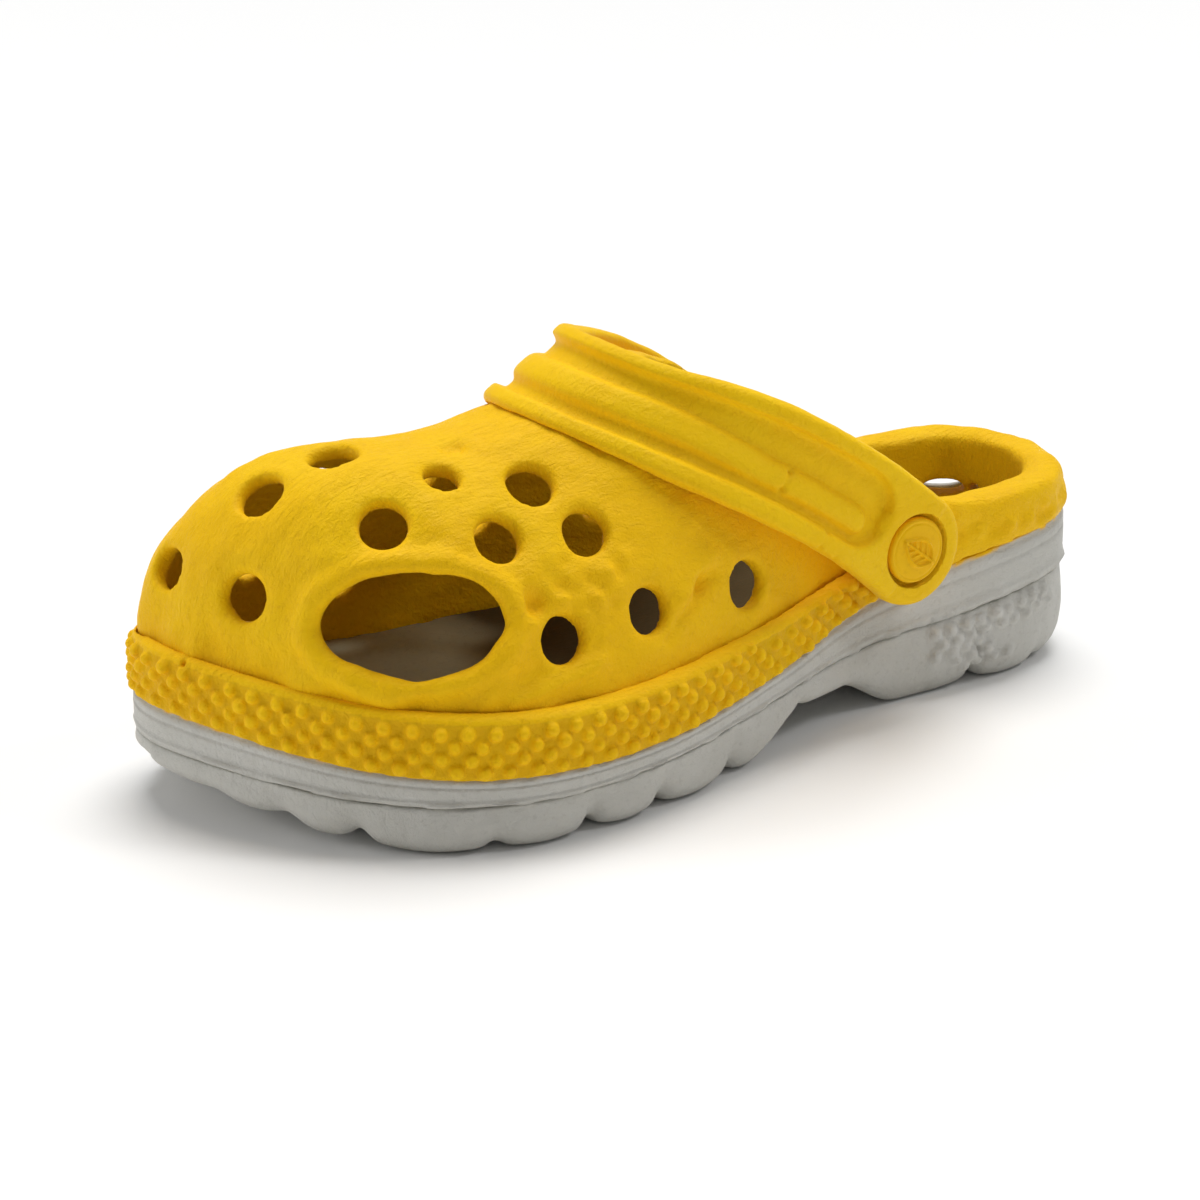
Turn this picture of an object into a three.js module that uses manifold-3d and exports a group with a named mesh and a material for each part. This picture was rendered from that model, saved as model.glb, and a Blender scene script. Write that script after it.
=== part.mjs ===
// A moulded rubber garden clog with a heel strap that swings back over the heel.
// Millimetres. +X points to the toe, +Y to the outer side of the foot, +Z up, the floor is z = 0.
import * as THREE from "three";
import { mergeVertices } from "three/addons/utils/BufferGeometryUtils.js";
import Module from "manifold-3d";

const wasm = await Module();
wasm.setup();

// Overall sizes
const shoeLength = 272;
const shoeWidth = 112;
const halfLength = shoeLength / 2;
const halfWidth = shoeWidth / 2;

// Clearances
const fitGap = 0.3; // between two pieces that touch
const seatGap = 0.4; // between the curved layers of the sole
const slideGap = 0.8; // between the strap and the vamp it rests on

// Walls and layers
const bandEnd = -56; // the band stops behind the strap's boss
const wallThickness = 4.5; // upper shell
const bandDepth = 4; // the knobbly band stands this far out of the vamp
const rimWidth = 11.5; // the heel wall and its rolled rim are this thick
const cupFront = -92; // the thick heel cup starts here
const cupDrop = 20; // walls are carried down this far so that what they cut is cut clean through
const cupSkin = 3.4; // the heel cup reaches down inside this much of the sole
const footbedThickness = 4;
const vampInset = 0.3; // the shell starts this far above the sole

// Heights at eight stations from the heel to the toe, as fractions of the half length
const stations = [-1, -0.74, -0.44, -0.15, 0.15, 0.44, 0.74, 1];
const bandTopHeights = [54, 51, 43, 38, 35.5, 35, 38, 44.5];
const soleTopHeights = [42, 39.5, 33.5, 25.5, 20.5, 19.5, 22, 29];
const partingHeights = [27, 24, 20, 17.5, 14, 12.5, 13.5, 18];
const footbedHeights = [34, 34, 35.5, 29.9, 24.9, 23.9, 26.4, 33.4]; // its upper face
const ridgeHeights = [118, 116, 112, 106, 98.5, 90.5, 93.5, 93.5];
const shoeMidline = -2; // y of the line that the strap and the ridge are centred on
const ridgeToeShift = -1.7; // the ridge drifts inwards over the toes
const toeSwell = 3.3; // the shell swells out over the band on the inner side of the toe

// Plan outline of the sole, as fractions of the half length and the half width
const planOutline = [
  [-1.0, -0.04],
  [-0.93, 0.41],
  [-0.74, 0.58],
  [-0.38, 0.57],
  [-0.08, 0.78],
  [0.25, 0.98],
  [0.54, 0.97],
  [0.76, 0.68],
  [0.91, 0.2],
  [1.0, -0.44],
  [0.9, -0.87],
  [0.62, -0.99],
  [0.3, -0.96],
  [-0.08, -0.78],
  [-0.41, -0.64],
  [-0.71, -0.61],
  [-0.92, -0.49],
];

// Tread
const toeSpring = 12;
const heelSpring = 7;
const archRise = 9.5;
const ballFront = 90; // the flat under the ball of the foot ends here
const heelBack = 104; // the flat under the heel ends this far behind the centre
const treadInset = 4.5;
const grooveRadius = 3.2;
const grooveReach = 9;
const grooveStations = [108, 80, 52, 26, -2, -80, -102];

// Opening of the foot, as a side line from the heel rim to under the strap
const rimHeight = 53.5;
const collarLine = [
  [-86, rimHeight],
  [-70, 57],
  [-50, 72],
  [-26, 89],
  [0, 101],
  [14, 108],
];

// Strap and its rivets
const pivotX = -58;
const pivotZ = 48.3;
const strapAngle = 30.5; // degrees above level, at rest on the vamp
const strapReach = 98; // pivot to the inner face at the middle of the strap
const strapStandoff = 4.68; // the strap's inner face stands this far outside the wider side at the pivot
const strapHalfBand = 15.5;
const strapThickness = 4;
const strapLip = 2; // the rolled edges stand this far above the band
const strapBow = 5; // the side arms arch this far above a straight line
const strapFlare = 0.36; // the front half of the arms spreads over the vamp
const strapTiltAtTop = 31; // slope of the band's width over the instep, in degrees
const bossRadius = 15.5;
const bossThickness = 5.5;
const bossRecess = 2.2;
const padRadius = 12;
const padInside = 2.5; // the pad stands this far inside the wall
const recessRadius = 10.3;
const capRadius = 8.9;
const capThickness = 2.3;
const postRadius = 4;
const washerRadius = 7;
const washerThickness = 2.4;
const capChamfer = 0.8;
const bossClearance = 14; // room round the boss kept clear of the strap's arm on its inner side
const cutOver = 5; // cuts run on this far past the faces they go through

// Openings in the vamp: place along the sole, rise over the vamp in degrees, side, radius
const holeRadius = 6.5;
const ventHoles = [
  [128.8, 31, 1, holeRadius],
  [134, 61, 1, holeRadius],
  [134, 82, 1, holeRadius],
  [105.6, 57.7, 1, holeRadius],
  [83.4, 73.6, 1, 5],
  [71.1, 52, 1, holeRadius],
  [53.2, 63.5, 1, holeRadius],
  [42.8, 47, 1, holeRadius],
  [29.1, 26, 1, holeRadius],
  [57.9, 26.7, 1, holeRadius],
  [-6.9, 20.3, 1, holeRadius],
  [135.2, 32, -1, holeRadius],
  [112, 40, -1, holeRadius],
  [86, 54, -1, holeRadius],
  [94, 26, -1, holeRadius],
  [53.2, 63.5, -1, holeRadius],
  [48, 45, -1, holeRadius],
  [66, 19, -1, holeRadius],
  [26, 27, -1, holeRadius],
  [-10, 22, -1, holeRadius],
];
const sideOpening = { along: 98.6, rise: 31.7, side: 1, width: 44, height: 26 };
const heelVents = [
  { along: -124, height: 37.2, side: -1, width: 14, tall: 5 },
  { along: -133, height: 37.4, side: -1, width: 5, tall: 4 },
];

const yellow = new THREE.MeshStandardMaterial({ color: 0xf6bd10, roughness: 0.62, metalness: 0 });
const bandYellow = new THREE.MeshStandardMaterial({ color: 0xefb40c, roughness: 0.62, metalness: 0 });
const strapYellow = new THREE.MeshStandardMaterial({ color: 0xf8c114, roughness: 0.62, metalness: 0 });
const soleGrey = new THREE.MeshStandardMaterial({ color: 0xc6c5bf, roughness: 0.75, metalness: 0 });
const treadGrey = new THREE.MeshStandardMaterial({ color: 0xbdbcb6, roughness: 0.8, metalness: 0 });
const footbedGrey = new THREE.MeshStandardMaterial({ color: 0xb9b6ac, roughness: 0.85, metalness: 0 });

function smoothStep(low, high, x) {
  const t = Math.min(1, Math.max(0, (x - low) / (high - low)));
  return t * t * (3 - 2 * t);
}

// A smooth height line through one value for each station
function heightLine(heights) {
  const xs = stations.map((s) => s * halfLength);
  const last = xs.length - 1;
  const slope = xs.map((_, i) => {
    const a = Math.max(0, i - 1);
    const b = Math.min(last, i + 1);
    return (heights[b] - heights[a]) / (xs[b] - xs[a]);
  });
  return (x) => {
    const at = Math.min(xs[last], Math.max(xs[0], x));
    let i = 0;
    while (i < last - 1 && at >= xs[i + 1]) i += 1;
    const h = xs[i + 1] - xs[i];
    const t = (at - xs[i]) / h;
    return (
      (2 * t ** 3 - 3 * t ** 2 + 1) * heights[i] +
      (t ** 3 - 2 * t ** 2 + t) * h * slope[i] +
      (3 * t ** 2 - 2 * t ** 3) * heights[i + 1] +
      (t ** 3 - t ** 2) * h * slope[i + 1]
    );
  };
}

const bandTop = heightLine(bandTopHeights);
const soleTop = heightLine(soleTopHeights);
const partingLine = heightLine(partingHeights);
const footbedTop = heightLine(footbedHeights);
const footbedUnder = (x) => footbedTop(x) - footbedThickness;
const ridgeLine = heightLine(ridgeHeights);

// Underside of the tread: flat under the ball and the heel, lifted at the toe, the arch and the back
function groundLine(x) {
  const toe = Math.max(0, (x - ballFront) / (halfLength - ballFront)) ** 2;
  const back = Math.max(0, (-x - heelBack) / (halfLength - heelBack)) ** 2;
  const arch = smoothStep(-64, -42, x) - smoothStep(-24, 0, x);
  return toeSpring * toe + heelSpring * back + archRise * arch;
}

// The outline as two sides from heel to toe, with outward normals
function outlineSides() {
  const knots = planOutline.map(([a, b]) => new THREE.Vector3(a, b, 0));
  const curve = new THREE.CatmullRomCurve3(knots, true, "catmullrom", 0.5);
  const raw = curve.getPoints(planOutline.length * 60).slice(0, -1);
  const box = new THREE.Box3().setFromPoints(raw);
  const points = raw.map((p) => [
    halfLength * ((2 * (p.x - box.min.x)) / (box.max.x - box.min.x) - 1),
    halfWidth * ((2 * (p.y - box.min.y)) / (box.max.y - box.min.y) - 1),
  ]);
  const count = points.length;
  const withNormals = points.map(([x, y], i) => {
    const [ax, ay] = points[(i + count - 1) % count];
    const [bx, by] = points[(i + 1) % count];
    const length = Math.hypot(bx - ax, by - ay);
    return { x, y, nx: -(by - ay) / length, ny: (bx - ax) / length };
  });
  const toe = withNormals.reduce((best, p) => (p.x > best.x ? p : best));
  const heel = withNormals.reduce((best, p) => (p.x < best.x ? p : best));
  const from = withNormals.indexOf(heel);
  const turned = [...withNormals.slice(from), ...withNormals.slice(0, from)];
  const split = turned.indexOf(toe);
  const outer = turned.slice(0, split + 1);
  const inner = [...turned.slice(split), turned[0]].reverse();
  return { 1: outer, "-1": inner };
}

const sides = outlineSides();

// Point and outward normal of the outline at x on one side
function edgeAt(x, side) {
  const line = sides[side];
  let i = 1;
  while (i < line.length - 1 && line[i].x < x) i += 1;
  const a = line[i - 1];
  const b = line[i];
  const t = Math.min(1, Math.max(0, (x - a.x) / (b.x - a.x || 1)));
  const mix = (key) => a[key] + (b[key] - a[key]) * t;
  const length = Math.hypot(mix("nx"), mix("ny"));
  return { y: mix("y"), nx: mix("nx") / length, ny: mix("ny") / length };
}

// Midline to the strap's inner face at the pivot
const widerSide = Math.max(edgeAt(pivotX, 1).y - shoeMidline, shoeMidline - edgeAt(pivotX, -1).y);
const strapHalfSpan = widerSide + strapStandoff;

const ringHalf = 28; // steps from the toe to the heel along each side
function ringPlaces() {
  const places = [];
  for (let i = 0; i < 2 * ringHalf; i += 1) {
    const step = i <= ringHalf ? i : 2 * ringHalf - i;
    places.push([halfLength * Math.cos((Math.PI * step) / ringHalf), i <= ringHalf ? 1 : -1]);
  }
  return places;
}

// A level ring: the outline moved in by inset(x), at the height z(x)
function levelRing(inset, height) {
  return ringPlaces().map(([x, side]) => {
    const edge = edgeAt(x, side);
    const px = x - edge.nx * inset(x);
    return new THREE.Vector3(px, edge.y - edge.ny * inset(x), height(px));
  });
}

// The room the band takes out of the vamp, gone behind the strap's rivets
function tuck(x) {
  return bandDepth * (1 - smoothStep(45, 75, -x));
}

// Thickness of the upper's wall: thin in the vamp, thick in the heel
function wallAt(x) {
  return wallThickness + (rimWidth - wallThickness) * smoothStep(66, 92, -x);
}

// A point of the vamp: x along the sole, side, rise in radians, and how far inside the outer face
function vampPoint(x, side, rise, inside) {
  const edge = edgeAt(x, side);
  const inset = tuck(x) + inside;
  const bx = x - edge.nx * inset;
  const by = edge.y - edge.ny * inset;
  const pull = (bx > 0 ? 0.47 : 0.3) * (bx / halfLength) ** 2;
  const top = bx * (1 - pull);
  const toeward = smoothStep(40, 125, bx);
  const lean = 1 - Math.cos(rise) ** (2 / (2.08 + 1.1 * toeward));
  const lift = Math.sin(rise) ** (2 / (1.86 + 0.26 * toeward));
  const base = soleTop(bx) + vampInset;
  const ridgeY = shoeMidline + ridgeToeShift * smoothStep(30, 80, top);
  const innerSide = smoothStep(60, 120, bx) * smoothStep(0, 0.45, -edge.ny);
  const degrees = THREE.MathUtils.radToDeg(rise);
  const swell = toeSwell * innerSide * (smoothStep(0, 15, degrees) - smoothStep(30, 54, degrees));
  return new THREE.Vector3(
    bx + (top - bx) * lean + edge.nx * swell,
    by + (ridgeY - by) * lean + edge.ny * swell,
    base + (ridgeLine(top) - inside - base) * lift,
  );
}

function vampNormal(x, side, rise) {
  const step = 0.02;
  const along = vampPoint(x - 1, side, rise, 0).sub(vampPoint(x + 1, side, rise, 0));
  const up = vampPoint(x, side, rise + step, 0).sub(vampPoint(x, side, rise - step, 0));
  return along.cross(up).multiplyScalar(side).normalize();
}

// Geometry to solid and back
function toSolid(geometry) {
  geometry.deleteAttribute("normal");
  geometry.deleteAttribute("uv");
  const merged = mergeVertices(geometry, 1e-4);
  return new wasm.Manifold(
    new wasm.Mesh({
      numProp: 3,
      vertProperties: new Float32Array(merged.attributes.position.array),
      triVerts: new Uint32Array(merged.index.array),
    }),
  );
}

function toMesh(name, solid, material) {
  const data = solid.getMesh();
  const geometry = new THREE.BufferGeometry();
  geometry.setAttribute("position", new THREE.BufferAttribute(data.vertProperties, 3));
  geometry.setIndex(new THREE.BufferAttribute(data.triVerts, 1));
  geometry.computeVertexNormals();
  const mesh = new THREE.Mesh(geometry, material);
  mesh.name = name;
  return mesh;
}

function fromFaces(points, faces) {
  const geometry = new THREE.BufferGeometry();
  geometry.setAttribute("position", new THREE.Float32BufferAttribute(points.flatMap((p) => [p.x, p.y, p.z]), 3));
  geometry.setIndex(faces.flat());
  return toSolid(geometry);
}

// Rings of the sole's outline from the bottom up, closed by strips from side to side
function stackRings(rings) {
  const count = 2 * ringHalf;
  const faces = [];
  for (let k = 0; k < rings.length - 1; k += 1) {
    for (let i = 0; i < count; i += 1) {
      const a = k * count + i;
      const b = k * count + ((i + 1) % count);
      faces.push([a, b, b + count], [a, b + count, a + count]);
    }
  }
  const topStart = (rings.length - 1) * count;
  for (let i = 0; i < ringHalf; i += 1) {
    const outer = [i, i + 1];
    const inner = [(count - i) % count, count - i - 1];
    const quads = [
      [inner[0], outer[0], outer[1]],
      [inner[0], outer[1], inner[1]],
    ].filter((f) => new Set(f).size === 3);
    quads.forEach(([a, b, c]) => {
      faces.push([topStart + a, topStart + b, topStart + c]);
      faces.push([a, c, b]);
    });
  }
  return fromFaces(rings.flat(), faces);
}

const outerSteps = 9;
const innerSteps = 6;
const vampTopRise = THREE.MathUtils.degToRad(86);
function vampSolid(inside, drop) {
  const depth = typeof inside === "function" ? inside : () => inside;
  const steps = depth(0) > wallThickness / 2 ? innerSteps : outerSteps;
  const rings = [];
  for (let k = 0; k <= steps; k += 1) {
    const rise = (vampTopRise * k) / steps;
    rings.push(ringPlaces().map(([x, side]) => vampPoint(x, side, rise, depth(x))));
  }
  if (drop) rings.unshift(rings[0].map((p) => new THREE.Vector3(p.x, p.y, p.z - drop)));
  return stackRings(rings);
}

// A prism across the shoe from a side outline of [x, z] points
function sidePrism(outline, from, to) {
  const shape = new THREE.Shape(outline.map(([x, z]) => new THREE.Vector2(x, z)));
  const geometry = new THREE.ExtrudeGeometry(shape, { depth: to - from, bevelEnabled: false });
  geometry.rotateX(Math.PI / 2);
  geometry.translate(0, to, 0);
  return toSolid(geometry);
}

// A round or oval rod centred on a point, along a direction
function rod(centre, direction, radius, length, segments = 12, flatten = 1) {
  const geometry = new THREE.CylinderGeometry(radius, radius, length, segments);
  geometry.scale(1, 1, flatten);
  const axis = direction.clone().normalize();
  const level = new THREE.Vector3(-axis.y, axis.x, 0).normalize();
  const third = new THREE.Vector3().crossVectors(level, axis);
  geometry.applyMatrix4(new THREE.Matrix4().makeBasis(level, axis, third));
  geometry.translate(centre.x, centre.y, centre.z);
  return toSolid(geometry);
}

function crossRod(x, z, radius, from, to, segments = 24) {
  const centre = new THREE.Vector3(x, (from + to) / 2, z);
  return rod(centre, new THREE.Vector3(0, 1, 0), radius, Math.abs(to - from), segments);
}

// An oval drain hole through the heel cup and the sole round it
function heelVentRod({ along, height, side, width, tall }) {
  const edge = edgeAt(along, side);
  const centre = new THREE.Vector3(along, edge.y, height);
  return rod(centre, new THREE.Vector3(edge.nx, edge.ny, 0), width / 2, 40, 16, tall / width);
}

// The upper: vamp, heel wall and rolled rim in one moulding
const bossFace = (side) => shoeMidline + side * strapHalfSpan;
const wallFace = (side) => edgeAt(pivotX, side).y - side * (tuck(pivotX) + wallThickness + padInside);

// A slab over the whole plan between two height lines, wider than the sole
function levelSlab(low, high) {
  return stackRings([levelRing(() => -2, low), levelRing(() => -2, high)]);
}

// The heel cup below the wall, sunk into the sole; a gap makes the sole's recess for it
function sunkenCup(gap) {
  const behind = -halfLength - 5;
  const outline = [
    [behind, 0],
    [cupFront + gap, 0],
    [cupFront + gap, rimHeight - 5],
    [behind, rimHeight - 5],
  ];
  const above = levelSlab((x) => footbedUnder(x) - gap, () => rimHeight);
  const block = sidePrism(outline, -shoeWidth, shoeWidth).intersect(above);
  return vampSolid(cupSkin - gap, cupDrop).intersect(block);
}

// The round pads that carry the rivets, from inside the wall to just short of the strap
function pivotPad(side, gap = 0, inward = 0) {
  const from = wallFace(side) - side * (gap + inward);
  return crossRod(pivotX, pivotZ, padRadius + gap, from, bossFace(side) - side * fitGap);
}

function makeUpperShell() {
  const outside = vampSolid(0, 0);
  const farOut = shoeWidth;
  const collarCut = sidePrism(
    [...collarLine, [farOut, 140], [-halfLength - 20, 140], [-halfLength - 20, rimHeight]],
    -farOut,
    farOut,
  );
  let shell = outside.add(sunkenCup(0)).subtract(vampSolid(wallAt, cupDrop)).subtract(collarCut);
  for (const side of [1, -1]) {
    shell = shell.add(pivotPad(side));
    const reach = [wallFace(side) - side * cutOver, bossFace(side) + side * cutOver];
    shell = shell.subtract(crossRod(pivotX, pivotZ, postRadius + fitGap, reach[0], reach[1]));
  }
  for (const [along, rise, side, radius] of ventHoles) {
    const angle = THREE.MathUtils.degToRad(rise);
    const centre = vampPoint(along, side, angle, wallThickness / 2);
    shell = shell.subtract(rod(centre, vampNormal(along, side, angle), radius, wallThickness + 9));
  }
  const { along, rise, side, width, height } = sideOpening;
  const openRise = THREE.MathUtils.degToRad(rise);
  const openCentre = vampPoint(along, side, openRise, wallThickness / 2);
  const openAxis = vampNormal(along, side, openRise);
  shell = shell.subtract(rod(openCentre, openAxis, width / 2, 28, 24, height / width));
  for (const vent of heelVents) {
    shell = shell.subtract(heelVentRod(vent));
  }
  return shell;
}

// The knobbly band round the front of the shoe, open behind the rivets
function makeFoxingBand() {
  const bottom = (x) => soleTop(x) + fitGap;
  const middle = (x) => (soleTop(x) + bandTop(x)) / 2;
  const ring = stackRings([
    levelRing(() => 0.5, bottom),
    levelRing(() => 0, middle),
    levelRing(() => 0.3, (x) => bandTop(x) - 2),
    levelRing(() => 1.5, bandTop),
  ]);
  const behind = sidePrism(
    [
      [-halfLength - 20, -5],
      [bandEnd, -5],
      [bandEnd, 80],
      [-halfLength - 20, 80],
    ],
    -shoeWidth,
    shoeWidth,
  );
  let band = ring.subtract(vampSolid(-fitGap, cupDrop)).subtract(behind);
  for (const side of [1, -1]) {
    band = band.subtract(pivotPad(side, fitGap));
  }
  return band;
}

function makeMidsole() {
  const bottom = (x) => partingLine(x) + seatGap;
  let sole = stackRings([
    levelRing(() => 0.6, bottom),
    levelRing(() => 0, (x) => (soleTop(x) + partingLine(x)) / 2),
    levelRing(() => 0.3, (x) => soleTop(x)),
  ]);
  const recess = levelSlab((x) => footbedUnder(x) - fitGap, () => rimHeight);
  sole = sole.subtract(vampSolid(wallAt, cupDrop).intersect(recess)).subtract(sunkenCup(fitGap));
  for (const vent of heelVents) sole = sole.subtract(heelVentRod(vent));
  return sole;
}

function makeOutsole() {
  const between = (share) => (x) => groundLine(x) + (partingLine(x) - groundLine(x)) * share;
  let sole = stackRings([
    levelRing(() => treadInset, groundLine),
    levelRing(() => 1.6, between(0.22)),
    levelRing(() => 0.6, between(0.6)),
    levelRing(() => 1.0, partingLine),
  ]);
  for (const x of grooveStations) {
    for (const side of [1, -1]) {
      const edge = edgeAt(x, side);
      const outward = new THREE.Vector3(edge.nx, edge.ny, 0);
      const centre = new THREE.Vector3(x, edge.y, groundLine(x) + 0.5).addScaledVector(outward, -3);
      sole = sole.subtract(rod(centre, outward, grooveRadius, grooveReach, 8));
    }
  }
  return sole;
}

function makeFootbed() {
  const room = vampSolid((x) => wallAt(x) + fitGap, cupDrop);
  let footbed = levelSlab(footbedUnder, footbedTop).intersect(room);
  for (const side of [1, -1]) {
    footbed = footbed.subtract(pivotPad(side, fitGap, fitGap + washerThickness));
  }
  return footbed;
}

// The strap: a band swept over the instep, with a round boss at each end
const strapSteps = 26;
const strapPower = 2.2;
function strapProfile(middleBar) {
  const w = strapHalfBand;
  const t = strapThickness;
  const lip = t + strapLip;
  const bar = t + 1.2 * middleBar;
  return [
    [-w, 1.4],
    [1.6 - w, 0],
    [w - 1.6, 0],
    [w, 1.4],
    [w, lip - 1.6],
    [w - 2, lip],
    [w - 4.6, lip - 0.4],
    [w - 6, t],
    [w - 9.5, t],
    [w - 11, bar],
    [7 - w, bar],
    [5.6 - w, t],
    [4.8 - w, t],
    [3.8 - w, lip - 0.6],
    [1.6 - w, lip - 0.4],
    [-w, lip - 2],
  ];
}

function makeHeelStrap() {
  const rad = THREE.MathUtils.degToRad;
  const out = new THREE.Vector3(Math.cos(rad(strapAngle)), 0, Math.sin(rad(strapAngle)));
  const lift = new THREE.Vector3(-out.z, 0, out.x);
  const pivot = new THREE.Vector3(pivotX, shoeMidline, pivotZ);
  const points = [];
  const faces = [];
  const size = strapProfile(1).length;
  for (let k = 0; k <= strapSteps; k += 1) {
    const turn = (Math.PI * k) / strapSteps;
    const s = Math.max(0, Math.sin(turn));
    const c = Math.cos(turn);
    const reach = s ** (2 / strapPower);
    const span = Math.sign(c) * Math.abs(c) ** (2 / strapPower);
    const centre = pivot.clone().addScaledVector(out, strapReach * reach);
    centre.y += strapHalfSpan * span;
    centre.addScaledVector(lift, 4 * strapBow * reach * (1 - reach));
    const armTilt = rad(90 - strapAngle) - Math.atan((4 * strapBow * (1 - 2 * reach)) / strapReach);
    const tilt = armTilt + (rad(strapTiltAtTop) - armTilt) * smoothStep(0.3, 1, reach);
    const flare = strapFlare * Math.sin(Math.PI * reach) * Math.sign(c);
    const width = new THREE.Vector3(Math.cos(tilt), 0, -Math.sin(tilt));
    const face = out.clone().multiplyScalar(reach ** (strapPower - 1) / strapReach);
    face.y = (Math.sign(span) * Math.abs(span) ** (strapPower - 1)) / strapHalfSpan;
    face.addScaledVector(width, -face.dot(width)).normalize();
    for (const [u, n] of strapProfile(smoothStep(0.42, 0.56, reach))) {
      const point = centre.clone().addScaledVector(width, u).addScaledVector(face, n);
      point.y += flare * Math.max(0, u);
      points.push(point);
    }
    if (k > 0) {
      for (let i = 0; i < size; i += 1) {
        const a = (k - 1) * size + i;
        const b = (k - 1) * size + ((i + 1) % size);
        faces.push([a, b + size, b], [a, a + size, b + size]);
      }
    }
  }
  for (const start of [0, strapSteps * size]) {
    const middle = points.slice(start, start + size).reduce((sum, p) => sum.add(p), new THREE.Vector3());
    points.push(middle.divideScalar(size));
    const hub = points.length - 1;
    for (let i = 0; i < size; i += 1) {
      const edge = [start + i, start + ((i + 1) % size)];
      faces.push(start ? [hub, edge[1], edge[0]] : [hub, edge[0], edge[1]]);
    }
  }
  let strap = fromFaces(points, faces);
  if (strap.volume() < 0) strap = fromFaces(points, faces.map(([a, b, c]) => [a, c, b]));
  for (const side of [1, -1]) {
    const inFace = bossFace(side);
    const outFace = inFace + side * bossThickness;
    strap = strap.add(crossRod(pivotX, pivotZ, bossRadius, inFace, outFace, 32));
    const over = outFace + side * cutOver;
    strap = strap.subtract(crossRod(pivotX, pivotZ, recessRadius, outFace - side * bossRecess, over, 32));
    strap = strap.subtract(crossRod(pivotX, pivotZ, postRadius + fitGap, inFace - side * cutOver, over, 20));
    // nothing of the strap lies between the boss's inner face and the shoe
    strap = strap.subtract(crossRod(pivotX, pivotZ, bossRadius + bossClearance, shoeMidline, inFace - side * 0.01, 32));
  }
  return strap.subtract(vampSolid(-slideGap, 30));
}

// A rivet cap with its post, turned about the pivot line
function makeRivetCap(side) {
  const floor = strapHalfSpan + bossThickness - bossRecess + fitGap;
  const end = Math.abs(wallFace(side) - shoeMidline) - fitGap - washerThickness;
  const profile = [
    [0, end],
    [postRadius, end],
    [postRadius, floor],
    [capRadius, floor],
    [capRadius, floor + capThickness - capChamfer],
    [capRadius - capChamfer, floor + capThickness],
    [0, floor + capThickness],
  ];
  const geometry = new THREE.LatheGeometry(profile.map(([r, h]) => new THREE.Vector2(r, h)), 28);
  if (side < 0) geometry.rotateX(Math.PI);
  geometry.translate(pivotX, shoeMidline, pivotZ);
  return toSolid(geometry);
}

function makeRivetBack(side) {
  const outer = wallFace(side) - side * fitGap;
  const inner = outer - side * washerThickness;
  const disc = crossRod(pivotX, pivotZ, washerRadius, inner, outer, 24);
  return disc.subtract(crossRod(pivotX, pivotZ, postRadius + fitGap, inner - cutOver, outer + cutOver, 20));
}

const clog = new THREE.Group();
clog.add(toMesh("upper_shell", makeUpperShell(), yellow));
clog.add(toMesh("foxing_band", makeFoxingBand(), bandYellow));
clog.add(toMesh("midsole", makeMidsole(), soleGrey));
clog.add(toMesh("outsole", makeOutsole(), treadGrey));
clog.add(toMesh("footbed", makeFootbed(), footbedGrey));
clog.add(toMesh("heel_strap", makeHeelStrap(), strapYellow));
clog.add(toMesh("rivet_cap_left", makeRivetCap(1), strapYellow));
clog.add(toMesh("rivet_cap_right", makeRivetCap(-1), strapYellow));
clog.add(toMesh("rivet_back_left", makeRivetBack(1), yellow));
clog.add(toMesh("rivet_back_right", makeRivetBack(-1), yellow));

export default clog;
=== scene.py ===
import bpy
import bmesh
import math
import numpy as np
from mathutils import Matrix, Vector
from mathutils.kdtree import KDTree


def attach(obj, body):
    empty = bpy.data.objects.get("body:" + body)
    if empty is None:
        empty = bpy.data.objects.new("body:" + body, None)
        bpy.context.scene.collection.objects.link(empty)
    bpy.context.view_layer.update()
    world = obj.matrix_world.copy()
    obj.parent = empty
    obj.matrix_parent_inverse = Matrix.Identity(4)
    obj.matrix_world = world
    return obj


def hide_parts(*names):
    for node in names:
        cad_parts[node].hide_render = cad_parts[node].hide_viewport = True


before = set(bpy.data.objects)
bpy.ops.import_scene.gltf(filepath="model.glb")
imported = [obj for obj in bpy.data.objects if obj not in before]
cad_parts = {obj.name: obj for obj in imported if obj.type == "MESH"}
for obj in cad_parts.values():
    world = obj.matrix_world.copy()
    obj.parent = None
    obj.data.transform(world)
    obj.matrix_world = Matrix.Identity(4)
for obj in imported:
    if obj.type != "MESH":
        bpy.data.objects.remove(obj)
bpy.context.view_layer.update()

# All making is in millimetres: +X to the toe, +Y the outer side, the floor is z = 0.
shoe = {
    "halfLength": 136.0,
    "halfWidth": 56.0,
    "midline": -2.0,
    "ridgeToeShift": -1.7,
    "toeSwell": 3.3,
    "stations": [-1, -0.74, -0.44, -0.15, 0.15, 0.44, 0.74, 1],
    "bandTop": [54, 51, 43, 38, 35.5, 35, 38, 44.5],
    "soleTop": [42, 39.5, 33.5, 25.5, 20.5, 19.5, 22, 29],
    "parting": [27, 24, 20, 17.5, 14, 12.5, 13.5, 18],
    "footbed": [34, 34, 35.5, 29.9, 24.9, 23.9, 26.4, 33.4],
    "ridge": [118, 116, 112, 106, 98.5, 90.5, 93.5, 93.5],
    "outline": [(-1, -.04), (-.93, .41), (-.74, .58), (-.38, .57), (-.08, .78), (.25, .98),
                (.54, .97), (.76, .68), (.91, .2), (1, -.44), (.9, -.87), (.62, -.99),
                (.3, -.96), (-.08, -.78), (-.41, -.64), (-.71, -.61), (-.92, -.49)],
    "bandDepth": 4.0,
    "wall": 4.5,
    "rimWidth": 11.5,
    "cupSkin": 3.4,
    "cupFront": -92.0,
    "footbedThickness": 4.0,
    "fitGap": 0.3,
    "rimHeight": 53.5,
}


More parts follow.
